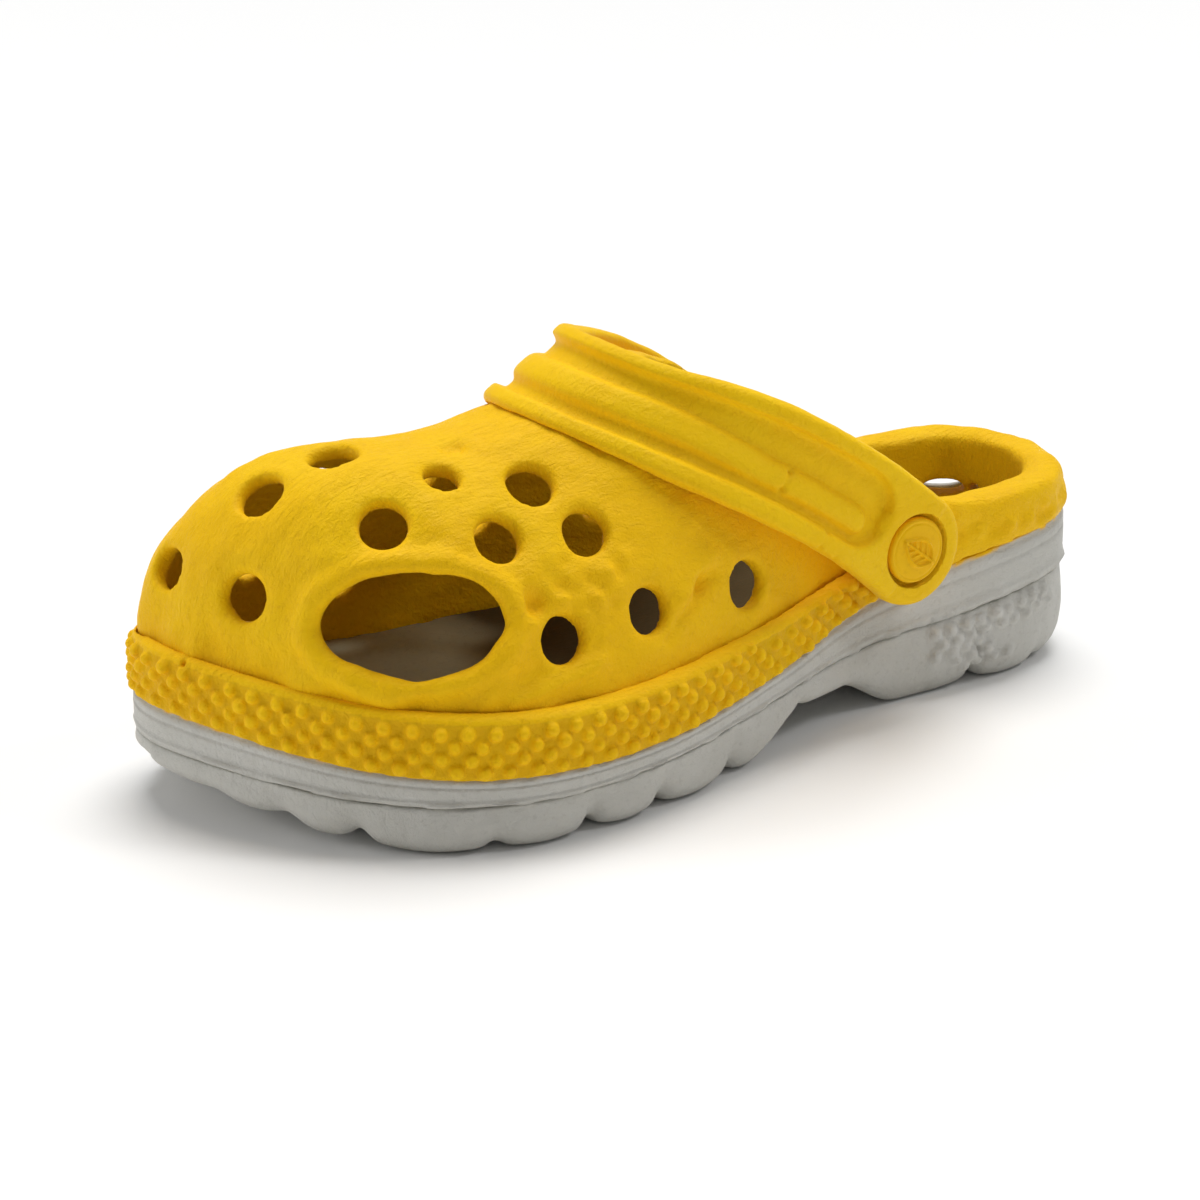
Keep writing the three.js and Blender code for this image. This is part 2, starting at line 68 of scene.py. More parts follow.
def smoothStep(low, high, x):
    t = np.clip((np.asarray(x, float) - low) / (high - low), 0, 1)
    return t * t * (3 - 2 * t)


def heightLine(heights):  # one smooth line through a height at each station
    xs = np.array(shoe["stations"], float) * shoe["halfLength"]
    hs = np.array(heights, float)
    last = len(xs) - 1
    slope = np.array([(hs[min(last, i + 1)] - hs[max(0, i - 1)]) / (xs[min(last, i + 1)] - xs[max(0, i - 1)])
                      for i in range(last + 1)])

    def line(x):
        at = np.clip(np.asarray(x, float), xs[0], xs[-1])
        i = np.clip(np.searchsorted(xs, at, side="right") - 1, 0, last - 1)
        h = xs[i + 1] - xs[i]
        t = (at - xs[i]) / h
        return ((2 * t**3 - 3 * t**2 + 1) * hs[i] + (t**3 - 2 * t**2 + t) * h * slope[i]
                + (3 * t**2 - 2 * t**3) * hs[i + 1] + (t**3 - t**2) * h * slope[i + 1])

    return line


bandTop, soleTop = heightLine(shoe["bandTop"]), heightLine(shoe["soleTop"])
partingLine, footbedTop = heightLine(shoe["parting"]), heightLine(shoe["footbed"])
ridgeLine = heightLine(shoe["ridge"])


def footbedUnder(x):
    return footbedTop(x) - shoe["footbedThickness"]


def groundLine(x):
    x = np.asarray(x, float)
    toe = np.maximum(0, (x - 90) / 46) ** 2
    back = np.maximum(0, (-x - 104) / 32) ** 2
    return 12 * toe + 7 * back + 9.5 * (smoothStep(-64, -42, x) - smoothStep(-24, 0, x))


def outlineSides():  # the plan outline as two lines from heel to toe, with outward normals
    knots = np.array(shoe["outline"], float)
    p0, p1, p2, p3 = (np.roll(knots, s, axis=0)[:, None, :] for s in (1, 0, -1, -2))
    t = (np.arange(60) / 60)[None, :, None]
    raw = 0.5 * (2 * p1 + (p2 - p0) * t + (2 * p0 - 5 * p1 + 4 * p2 - p3) * t**2 + (3 * p1 - p0 - 3 * p2 + p3) * t**3)
    raw = raw.reshape(-1, 2)
    low, high = raw.min(0), raw.max(0)
    pts = (2 * (raw - low) / (high - low) - 1) * [shoe["halfLength"], shoe["halfWidth"]]
    d = np.roll(pts, -1, 0) - np.roll(pts, 1, 0)
    d /= np.linalg.norm(d, axis=1)[:, None]
    line = np.column_stack([pts, -d[:, 1], d[:, 0]])
    line = np.roll(line, -int(line[:, 0].argmin()), 0)
    split = int(line[:, 0].argmax())
    return {1: line[:split + 1], -1: np.vstack([line[split:], line[:1]])[::-1]}


sides = outlineSides()


def edgeAt(x, side):
    x, side = np.broadcast_arrays(np.asarray(x, float), np.asarray(side, float))
    out = np.zeros(x.shape + (3,))
    for s in (1, -1):
        line = sides[s]
        for k in range(3):
            out[..., k] = np.where(side == s, np.interp(x, line[:, 0], line[:, k + 1]), out[..., k])
    out[..., 1:] /= np.linalg.norm(out[..., 1:], axis=-1, keepdims=True)
    return out


def ringPlaces(n):
    k = np.arange(2 * n)
    step = np.where(k <= n, k, 2 * n - k)
    return shoe["halfLength"] * np.cos(np.pi * step / n), np.where(k <= n, 1.0, -1.0)


def levelRing(inset, height, n=180):  # the outline moved in by inset(x, side) at the height z(x)
    x, side = ringPlaces(n)
    edge = edgeAt(x, side)
    d = np.broadcast_to(inset(x, side) if callable(inset) else inset, x.shape)
    px = x - edge[:, 1] * d
    return np.column_stack([px, edge[:, 0] - edge[:, 2] * d, height(px)])


def tuck(x):
    return shoe["bandDepth"] * (1 - smoothStep(45, 75, -np.asarray(x, float)))


def wallAt(x):
    return shoe["wall"] + (shoe["rimWidth"] - shoe["wall"]) * smoothStep(66, 92, -np.asarray(x, float))


def vampPoint(x, side, rise, inside=0.0):  # rise in radians over the vamp
    edge = edgeAt(x, side)
    inset = tuck(x) + inside
    bx = x - edge[..., 1] * inset
    by = edge[..., 0] - edge[..., 2] * inset
    top = bx * (1 - np.where(bx > 0, .47, .3) * (bx / shoe["halfLength"]) ** 2)
    toeward = smoothStep(40, 125, bx)
    lean = 1 - np.cos(rise) ** (2 / (2.08 + 1.1 * toeward))
    lift = np.sin(rise) ** (2 / (1.86 + .26 * toeward))
    base = soleTop(bx) + .3
    ridgeY = shoe["midline"] + shoe["ridgeToeShift"] * smoothStep(30, 80, top)
    # the shell swells out over the band on the inner side of the toe
    deg = np.degrees(rise)
    swell = (shoe["toeSwell"] * smoothStep(60, 120, bx) * smoothStep(0, .45, -edge[..., 2])
             * (smoothStep(0, 15, deg) - smoothStep(30, 54, deg)))
    return np.stack([bx + (top - bx) * lean + edge[..., 1] * swell, by + (ridgeY - by) * lean + edge[..., 2] * swell,
                     base + (ridgeLine(top) - inside - base) * lift], axis=-1)


def onVamp(along, rise, side=1, inside=0.0):
    return vampPoint(np.float64(along), side, math.radians(rise), inside)


def vampNormal(along, rise, side=1):
    r = math.radians(rise)
    a = vampPoint(np.float64(along - 1), side, r) - vampPoint(np.float64(along + 1), side, r)
    b = vampPoint(np.float64(along), side, r + .02) - vampPoint(np.float64(along), side, r - .02)
    n = np.cross(a, b) * side
    return n / np.linalg.norm(n)


def toObject(name, points, faces):
    mesh = bpy.data.meshes.new(name)
    mesh.from_pydata((np.asarray(points) / 1000).tolist(), [], [tuple(map(int, f)) for f in faces])
    mesh.update()
    made = bpy.data.objects.new(name, mesh)
    bpy.context.collection.objects.link(made)
    return made


def drop(*objs):
    for o in objs:
        mesh = o.data
        bpy.data.objects.remove(o)
        bpy.data.meshes.remove(mesh)


def bake(o):  # turns what the modifiers give into the piece's own mesh
    depsgraph = bpy.context.evaluated_depsgraph_get()
    depsgraph.update()
    fresh = bpy.data.meshes.new_from_object(o.evaluated_get(depsgraph), depsgraph=depsgraph)
    old = o.data
    o.modifiers.clear()
    o.data = fresh
    fresh.name = old.name
    bpy.data.meshes.remove(old)
    return o


def combine(base, tools, how="DIFFERENCE"):
    for tool in tools:
        m = base.modifiers.new("cut", "BOOLEAN")
        m.operation, m.solver, m.object = how, "MANIFOLD", tool
        bake(base)
        drop(tool)
    return base


def joinMeshes(name, objs):
    points, faces, start = [], [], 0
    for o in objs:
        v, f = meshArrays(o)
        points.append(v)
        faces += [[i + start for i in face] for face in f]
        start += len(v)
    drop(*objs)
    return toObject(name, np.vstack(points), faces)


def meshArrays(o):
    v = np.empty(len(o.data.vertices) * 3)
    o.data.vertices.foreach_get("co", v)
    return v.reshape(-1, 3) * 1000, [list(p.vertices) for p in o.data.polygons]


def getPoints(o):
    v = np.empty(len(o.data.vertices) * 3)
    o.data.vertices.foreach_get("co", v)
    return v.reshape(-1, 3) * 1000


def getNormals(o):
    n = np.empty(len(o.data.vertices) * 3)
    o.data.vertex_normals.foreach_get("vector", n)
    return n.reshape(-1, 3)


def setPoints(o, points):
    o.data.vertices.foreach_set("co", (points / 1000).ravel())
    o.data.update()


def skin(o, voxel, smooth, factor=.5):  # one even surface over everything, softened
    m = o.modifiers.new("skin", "REMESH")
    m.mode, m.voxel_size, m.adaptivity = "VOXEL", voxel / 1000, 0
    bake(o)
    soften(o, smooth, factor)
    return o


def soften(o, times, factor=.5):
    m = o.modifiers.new("soften", "SMOOTH")
    m.iterations, m.factor = times, factor
    bake(o)


def softenWhere(o, mask, times, factor=.5):  # rounds only the points that the mask picks
    group = o.vertex_groups.new(name="soft")
    group.add(np.flatnonzero(mask).tolist(), 1, "REPLACE")
    m = o.modifiers.new("soften", "SMOOTH")
    m.iterations, m.factor, m.vertex_group = times, factor, "soft"
    bake(o)
    o.vertex_groups.clear()


def fixNormals(o):
    bm = bmesh.new()
    bm.from_mesh(o.data)
    bmesh.ops.recalc_face_normals(bm, faces=bm.faces)
    bm.to_mesh(o.data)
    bm.free()


def shadeSmooth(o):
    o.data.polygons.foreach_set("use_smooth", [True] * len(o.data.polygons))
    o.data.update()


def ringSolid(name, rings):  # rings from the bottom up, closed by strips from side to side
    count = len(rings[0])
    n = count // 2
    faces = []
    for k in range(len(rings) - 1):
        for i in range(count):
            j = (i + 1) % count
            faces.append((k * count + i, k * count + j, (k + 1) * count + j, (k + 1) * count + i))
    top = (len(rings) - 1) * count
    for i in range(n):
        quad = []
        for v in ((count - i) % count, i, i + 1, count - i - 1):
            if v not in quad:
                quad.append(v)
        faces.append([top + v for v in quad])
        faces.append(quad[::-1])
    return toObject(name, np.vstack(rings), faces)


def vampSolid(name, inside, dropBy=0.0, n=110, steps=26):
    x, side = ringPlaces(n)
    depth = inside(x) if callable(inside) else np.full(x.shape, float(inside))
    rings = [vampPoint(x, side, math.radians(86) * k / steps, depth) for k in range(steps + 1)]
    if dropBy:
        rings.insert(0, rings[0] - [0, 0, dropBy])
    return ringSolid(name, rings)


def slab(name, low, high, grow=2.0, n=60):
    return ringSolid(name, [levelRing(-grow, low, n), levelRing(-grow, high, n)])


def prism(name, outline, y0=-120.0, y1=120.0):  # a block across the shoe from a side outline of (x, z)
    n = len(outline)
    area = sum(a[0] * b[1] - b[0] * a[1] for a, b in zip(outline, outline[1:] + outline[:1]))
    line = outline if area > 0 else outline[::-1]
    points = [(x, y0, z) for x, z in line] + [(x, y1, z) for x, z in line]
    faces = [list(range(n)), list(range(2 * n - 1, n - 1, -1))]
    faces += [((i + 1) % n, i, n + i, n + (i + 1) % n) for i in range(n)]
    return toObject(name, points, faces)


def lathe(name, profile, centre, axis, segments=40, stretch=(1, 1), up=(0, 0, 1)):
    # profile of (radius, height along the axis); stretch is along the level direction and across it
    axis = np.array(axis, float) / np.linalg.norm(axis)
    level = np.cross(up, axis)
    level /= np.linalg.norm(level)
    third = np.cross(axis, level)
    turn = np.arange(segments) * 2 * np.pi / segments
    points, rows = [], []
    for r, h in profile:
        at = np.array(centre, float) + axis * h
        if r < 1e-6:
            rows.append([len(points)])
            points.append(at)
        else:
            rows.append(list(range(len(points), len(points) + segments)))
            points += [at + level * r * stretch[0] * math.cos(a) + third * r * stretch[1] * math.sin(a) for a in turn]
    faces = []
    for a, b in zip(rows, rows[1:]):
        for i in range(segments):
            j = (i + 1) % segments
            face = [a[i % len(a)], a[j % len(a)], b[j % len(b)], b[i % len(b)]]
            face = [v for k, v in enumerate(face) if v not in face[:k]]
            if len(face) > 2:
                faces.append(face)
    return toObject(name, points, faces)


def rod(name, centre, axis, radius, length, segments=40, stretch=(1, 1), flare=0.0):
    # a cutter; flare opens its outer end like a trumpet
    h = length / 2
    profile = [(0, -h), (radius, -h), (radius, -1)]
    if flare:
        profile += [(radius + flare * t**2, 4.2 * t - 1.0) for t in (.35, .6, .8, 1)]
        profile += [(radius + flare, h), (0, h)]
    else:
        profile += [(radius, h), (0, h)]
    return lathe(name, profile, centre, axis, segments, stretch)


def tube(name, path, radii, segments=16, closed=True, squeeze=1.0):
    # a soft rope along a path of points; squeeze flattens it across the second direction
    path = np.asarray(path, float)
    n = len(path)
    tangent = np.roll(path, -1, 0) - np.roll(path, 1, 0)
    if not closed:
        tangent[0], tangent[-1] = path[1] - path[0], path[-1] - path[-2]
    tangent /= np.linalg.norm(tangent, axis=1)[:, None]
    first = np.cross(tangent, [0, 0, 1.0])
    first /= np.linalg.norm(first, axis=1)[:, None]
    second = np.cross(first, tangent)
    a = np.arange(segments) * 2 * np.pi / segments
    radii = np.broadcast_to(radii, (n,))
    rings = (path[:, None] + radii[:, None, None] * (np.cos(a)[None, :, None] * first[:, None]
             + squeeze * np.sin(a)[None, :, None] * second[:, None]))
    faces = []
    for k in range(n if closed else n - 1):
        for i in range(segments):
            j = (i + 1) % segments
            b = (k + 1) % n
            faces.append((k * segments + i, k * segments + j, b * segments + j, b * segments + i))
    if not closed:
        faces.append(list(range(segments))[::-1])
        faces.append([(n - 1) * segments + i for i in range(segments)])
    return toObject(name, rings.reshape(-1, 3), faces)


def lumps(points, size, seed):  # a smooth random field of about -1 to 1 with lumps of that size
    p = np.asarray(points, float) / size + seed * 13.7
    i = np.floor(p).astype(np.int64)
    f = p - i
    u = f * f * f * (f * (f * 6 - 15) + 10)
    total = np.zeros(len(p))
    for a in (0, 1):
        for b in (0, 1):
            for c in (0, 1):
                h = (i[:, 0] + a) * 73856093 ^ (i[:, 1] + b) * 19349663 ^ (i[:, 2] + c) * 83492791 ^ seed * 2654435
                h = (h ^ (h >> 13)) * 1274126177 & 0x7FFFFFFF
                h = (h ^ (h >> 15)) * 668265263 & 0x7FFFFFFF
                value = h / 0x3FFFFFFF - 1
                total += value * np.abs(1 - a - u[:, 0]) * np.abs(1 - b - u[:, 1]) * np.abs(1 - c - u[:, 2])
    return total


def distanceTo(points, path):  # to a line of points, or to a single one
    path = np.atleast_2d(path)
    if len(path) == 1:
        return np.linalg.norm(points - path[0], axis=1)
    best = np.full(len(points), 1e9)
    for a, b in zip(path, path[1:]):
        ab = b - a
        t = np.clip(((points - a) @ ab) / (ab @ ab), 0, 1)
        best = np.minimum(best, np.linalg.norm(points - a - t[:, None] * ab, axis=1))
    return best


def bulge(points, path, width, height):
    return height * np.exp(-(distanceTo(points, path) / width) ** 2)


def mould(o, field):  # moves the surface along its normals by field(points, normals) millimetres
    points, normals = getPoints(o), getNormals(o)
    setPoints(o, points + normals * field(points, normals)[:, None])


def makeFinish(name, base, dark, light, rough, grain, sheen=.02):
    # matte moulded rubber: blotchy colour, fine brushed creases and pores
    mat = bpy.data.materials.new(name)
    mat.use_nodes = True
    nodes, links = mat.node_tree.nodes, mat.node_tree.links
    shader = nodes["Principled BSDF"]
    shader.inputs["Sheen Weight"].default_value = sheen
    shader.inputs["Sheen Roughness"].default_value = .5
    shader.inputs["Specular IOR Level"].default_value = .12
    place = nodes.new("ShaderNodeTexCoord")

    def noise(scale, detail, roughness, distortion=0.0, source=None):
        n = nodes.new("ShaderNodeTexNoise")
        n.inputs["Scale"].default_value = scale
        n.inputs["Detail"].default_value = detail
        n.inputs["Roughness"].default_value = roughness
        n.inputs["Distortion"].default_value = distortion
        links.new(source or place.outputs["Object"], n.inputs["Vector"])
        return n.outputs["Fac"]

    def ramp(source, low, high, a, b):
        r = nodes.new("ShaderNodeMapRange")
        r.inputs["From Min"].default_value, r.inputs["From Max"].default_value = low, high
        r.inputs["To Min"].default_value, r.inputs["To Max"].default_value = a, b
        links.new(source, r.inputs["Value"])
        return r.outputs["Result"]

    def mix(share, a, b):
        m = nodes.new("ShaderNodeMix")
        m.data_type = "RGBA"
        links.new(share, m.inputs["Factor"])
        for value, socket in ((a, m.inputs[6]), (b, m.inputs[7])):
            if isinstance(value, tuple):
                socket.default_value = (*value, 1)
            else:
                links.new(value, socket)
        return m.outputs[2]

    blotches = noise(38, 4, .55)
    specks = noise(620, 3, .6)
    colour = mix(ramp(blotches, .42, .66, 0, .75), base, light)
    colour = mix(ramp(specks, .56, .74, 0, .35), colour, dark)
    shade = nodes.new("ShaderNodeAttribute")  # painted shade: deeper colour painted into hollows
    shade.attribute_name = "shade"
    colour = mix(shade.outputs["Fac"], colour, tuple(c * .62 for c in dark))
    links.new(colour, shader.inputs["Base Color"])
    links.new(ramp(noise(150, 4, .6), .3, .7, rough - .07, rough + .07), shader.inputs["Roughness"])
    stretch = nodes.new("ShaderNodeMapping")
    stretch.inputs["Rotation"].default_value = (.5, .35, .6)
    stretch.inputs["Scale"].default_value = (1, 3.2, 1.4)
    links.new(place.outputs["Object"], stretch.inputs["Vector"])
    creases = noise(260, 5, .62, .9, stretch.outputs["Vector"])
    pores = noise(1500, 2, .5)
    both = nodes.new("ShaderNodeMath")
    both.operation = "MULTIPLY_ADD"
    both.inputs[1].default_value = .35
    links.new(pores, both.inputs[0])
    links.new(creases, both.inputs[2])
    bump = nodes.new("ShaderNodeBump")
    bump.inputs["Strength"].default_value = grain
    bump.inputs["Distance"].default_value = .0006
    links.new(both.outputs[0], bump.inputs["Height"])
    links.new(bump.outputs["Normal"], shader.inputs["Normal"])
    return mat, nodes, links, mix, ramp, noise, colour, shader


finishes = {
    "yellow": {"base": (.94, .545, .001), "dark": (.77, .39, .001), "light": (.97, .60, .002), "rough": .54, "grain": .9},
    "strap": {"base": (.96, .58, .002), "dark": (.80, .43, .001), "light": (.98, .63, .004), "rough": .52, "grain": .75},
    "rivet": {"base": (.93, .53, .002), "dark": (.76, .39, .001), "light": (.95, .58, .003), "rough": .48, "grain": .25},
    "grey": {"base": (.57, .56, .515), "dark": (.40, .39, .35), "light": (.64, .63, .59), "rough": .66, "grain": .8},
    "footbed": {"base": (.38, .36, .235), "dark": (.24, .21, .12), "light": (.45, .43, .30), "rough": .78, "grain": .5},
}


def makeMaterials():
    made = {}
    for key, name in (("yellow", "yellowRubber"), ("strap", "strapRubber"), ("rivet", "rivetRubber"),
                      ("footbed", "footbedRubber")):
        f = finishes[key]
        made[key] = makeFinish(name, f["base"], f["dark"], f["light"], f["rough"], f["grain"])[0]
    # painted shade: the footbed is painted dark under the instep, where the vamp above shades it
    tree = made["footbed"].node_tree
    shader = tree.nodes["Principled BSDF"]
    unshaded = shader.inputs["Base Color"].links[0].from_socket
    wear_and_shade, blend = tree.nodes.new("ShaderNodeAttribute"), tree.nodes.new("ShaderNodeMix")
    wear_and_shade.attribute_name, blend.data_type = "wear_and_shade", "RGBA"
    # the dark brown of the painted shade
    blend.inputs[7].default_value = (.06, .034, .006, 1)
    tree.links.new(wear_and_shade.outputs["Fac"], blend.inputs["Factor"])
    tree.links.new(unshaded, blend.inputs[6])
    tree.links.new(blend.outputs[2], shader.inputs["Base Color"])
    f = finishes["grey"]
    mat, nodes, links, mix, ramp, noise, colour, shader = makeFinish(
        "greyRubber", f["base"], f["dark"], f["light"], f["rough"], f["grain"], .04)
    soil = nodes.new("ShaderNodeAttribute")  # soiling painted on the piece: near seams and the ground
    soil.attribute_name = "soil"
    stain = nodes.new("ShaderNodeMath")
    stain.operation = "MULTIPLY"
    links.new(soil.outputs["Fac"], stain.inputs[0])
    links.new(ramp(noise(210, 5, .65), .38, .62, .15, 1), stain.inputs[1])
    dirty = mix(stain.outputs[0], colour, (.20, .18, .13))
    paint = nodes.new("ShaderNodeAttribute")  # yellow that ran past the edge of the band
    paint.attribute_name = "paint"
    f = finishes["yellow"]
    links.new(mix(paint.outputs["Fac"], dirty, f["base"]), shader.inputs["Base Color"])
    made["grey"] = mat
    return made


materials = makeMaterials()
print("clog: finishes made")


def finishPiece(o, finish, body, slotName, *nodes):
    shadeSmooth(o)
    o.data.materials.clear()
    o.data.materials.append(materials[finish])
    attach(o, body)
    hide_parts(*nodes)
    print("clog:", o.name, len(o.data.polygons), "faces")


def paintMask(o, name, values):
    attribute = o.data.attributes.new(name, "FLOAT", "POINT")
    attribute.data.foreach_set("value", np.clip(values, 0, 1).astype(np.float32))


upper = {
    "voxel": 1.15,
    "smooth": 4,
    "pivot": (-58.0, 48.3),
    "padRadius": 12.0,
    "padInside": 2.5,
    "holeFlare": 1.7,
    "collar": [(-86, 53.5), (-70, 57), (-50, 72), (-26, 89), (0, 101), (14, 108)],
    "holes": [(128.8, 31, 1, 6.5), (134, 61, 1, 6.5), (134, 82, 1, 6.5), (105.6, 57.7, 1, 6.5), (83.4, 73.6, 1, 5),
              (71.1, 52, 1, 6.5), (53.2, 63.5, 1, 6.5), (42.8, 47, 1, 6.5), (29.1, 26, 1, 6.5), (57.9, 26.7, 1, 6.5),
              (-6.9, 20.3, 1, 6.5), (135.2, 32, -1, 6.5), (112, 40, -1, 6.5), (86, 54, -1, 6.5), (94, 26, -1, 6.5),
              (53.2, 63.5, -1, 6.5), (48, 45, -1, 6.5), (66, 19, -1, 6.5), (26, 27, -1, 6.5), (-10, 22, -1, 6.5)],
    "opening": {"along": 98.6, "rise": 31.7, "width": 44.0, "height": 26.0},
    "vents": [(-124, 37.2, -1, 14, 5), (-133, 37.4, -1, 5, 4)],
    "wrinkles": [(26, .60), (12, .38), (6.0, .20)],
}


def bossFace(side):
    return shoe["midline"] + side * 38.5


def wallFace(side):
    x = upper["pivot"][0]
    return float(edgeAt(x, side)[0]) - side * (float(tuck(x)) + shoe["wall"] + upper["padInside"])


def crossRod(name, radius, y0, y1, segments=48):
    x, z = upper["pivot"]
    return rod(name, (x, (y0 + y1) / 2, z), (0, 1, 0), radius, abs(y1 - y0), segments)


def sunkenCup(name, gap):
    behind = -shoe["halfLength"] - 5
    front, top = shoe["cupFront"] + gap, shoe["rimHeight"] - 5
    cup = vampSolid(name, shoe["cupSkin"] - gap, 20)
    block = prism("block", [(behind, 0), (front, 0), (front, top), (behind, top)])
    above = slab("above", lambda x: footbedUnder(x) - gap, lambda x: np.full(np.shape(x), shoe["rimHeight"]))
    return combine(cup, [block, above], "INTERSECT")


def ventRod(vent):
    along, height, side, width, tall = vent
    edge = edgeAt(float(along), side)
    return rod("vent", (along, edge[0], height), (edge[1], edge[2], 0), width / 2, 40, 24, (1, tall / width))


def openingPath(scale=1.0, inside=0.0, count=64):  # round the edge of the big side opening
    o = upper["opening"]
    centre = onVamp(o["along"], o["rise"], 1, inside)
    axis = vampNormal(o["along"], o["rise"])
    level = np.cross([0, 0, 1.0], axis)
    level /= np.linalg.norm(level)
    third = np.cross(axis, level)
    a = np.arange(count) * 2 * np.pi / count
    flat = (centre + np.cos(a)[:, None] * level * o["width"] / 2 * scale
            + np.sin(a)[:, None] * third * o["height"] / 2 * scale)
    return flat, axis, centre


def ontoVamp(points, axis, height=0.0):  # slides points along the axis until they lie on the outer face
    xs = np.linspace(40, 135, 140)
    rises = np.radians(np.linspace(4, 75, 120))
    gx, gr = np.meshgrid(xs, rises)
    grid = vampPoint(gx, 1.0, gr).reshape(-1, 3)
    out = []
    for p in points:
        off = grid - p
        along = off @ axis
        side = np.linalg.norm(off - along[:, None] * axis, axis=1)
        best = int(side.argmin())
        out.append(p + axis * (along[best] + height))
    out = np.array(out)
    for _ in range(3):
        out = (np.roll(out, 1, 0) + out * 2 + np.roll(out, -1, 0)) / 4
    return out


def heelRim():  # path of the rolled rim's middle round the heel, with its radius
    x, side = ringPlaces(120)
    z = shoe["rimHeight"]
    keep = [i for i in range(len(x)) if x[i] < -66]
    path = []
    for i in keep:
        low = 0.0
        for rise in np.radians(np.linspace(0, 60, 61)):
            p = vampPoint(x[i], side[i], rise, float(wallAt(x[i])) / 2)
            if p[2] > z - 4.6:
                break
            low = rise
        path.append(vampPoint(x[i], side[i], low, float(wallAt(x[i])) / 2))
    path = np.array(path)
    for _ in range(12):
        path[1:-1] = (path[:-2] + 2 * path[1:-1] + path[2:]) / 4
    return path, wallAt(x[keep]) / 2


def upperField(points, normals):
    d = np.zeros(len(points))
    for k, (size, height) in enumerate(upper["wrinkles"]):
        d += height * lumps(points, size, 11 + k)
    smear = points @ np.array([[.9, .2, -.35], [-.1, .95, .25], [.35, -.2, .9]]).T * [.35, 1, 1.1]
    d += .30 * lumps(smear, 4.2, 31)  # creases drawn out along the foot
    front = smoothStep(20, 60, points[:, 0]) * smoothStep(-5, 12, points[:, 1])
    d += front * (.45 * lumps(points, 8, 41) + .12 * lumps(points, 3.2, 42))
    on = lambda *places: np.array([onVamp(a, r) for a, r in places])
    # creases and a notch behind the third lower hole
    d += bulge(points, on((5.9, 26), (10.6, 25.4), (14.4, 22.8), (22, 20.9), (25.3, 19)), 1.7, -1.3)
    d += bulge(points, on((5, 29.5), (12, 28.5), (18, 25)), 3.0, 1.3)
    d += bulge(points, on((10, 25.4)), 2.6, -2.2)
    # the lumpy patch over the two lower holes
    patch = np.exp(-(distanceTo(points, on((42, 37), (50, 36), (60, 34))) / 8.5) ** 2)
    d += patch * (1.3 * lumps(points, 3.6, 51) + .9 * lumps(points, 6, 52))
    d += bulge(points, on((64, 35.5)), 3.0, -2.8)
    d += bulge(points, on((66.5, 31)), 2.4, 1.2)
    for place, height in (((46, 33), 1.6), ((52, 38), 1.6), ((56, 34), 1.5), ((41, 39), 1.4), ((60, 38), 1.5),
                          ((50, 30), 1.3), ((47, 37), -1.2), ((54, 31), -1.1)):
        d += bulge(points, on(place), 1.9, height)
    # folds low down by the band
    d += bulge(points, on((74.9, 15.2), (61.2, 18.4), (48.4, 20.3)), 2.2, 1.3)
    d += bulge(points, on((72, 20), (60, 23), (50, 24)), 3.0, -1.1)
    d += bulge(points, on((131.6, 17.1)), 4.0, -1.1)
    d += bulge(points, on((133.5, 14.2)), 3.2, 1.0)
    d += bulge(points, on((28.1, 70.4), (29.5, 62.2)), 1.4, -.35)
    d += bulge(points, on((120, 14), (112, 17), (104, 14.5)), 4.2, 1.4)  # the swelling under the opening
    d += bulge(points, on((78, 30), (74, 22), (82, 16)), 4.0, 1.0)
    d += bulge(points, on((118, 44), (106, 47), (92, 46)), 3.5, .8)
    calm = np.ones(len(points))  # the holes' edges stay round
    for along, rise, side, radius in upper["holes"]:
        away = np.linalg.norm(points - onVamp(along, rise, side, 1.5), axis=1)
        calm = np.minimum(calm, .25 + .75 * smoothStep(radius + 1, radius + 4.5, away))
    d *= calm
    # faint dimples at the foot of the heel wall
    out = points[:, :2] - [-82, -2]
    out /= np.linalg.norm(out, axis=1)[:, None]
    facing = np.clip((normals[:, :2] * out).sum(1), 0, 1) * smoothStep(62, 84, -points[:, 0])
    d -= facing * .5 * smoothStep(46, 56, points[:, 2])
    heel = facing * (1 - smoothStep(45, 50, points[:, 2]))
    d += heel * smoothStep(41, 44, points[:, 2]) * (1.6 * lumps(points, 3.6, 61) + .5 * lumps(points, 9, 62))
    return d


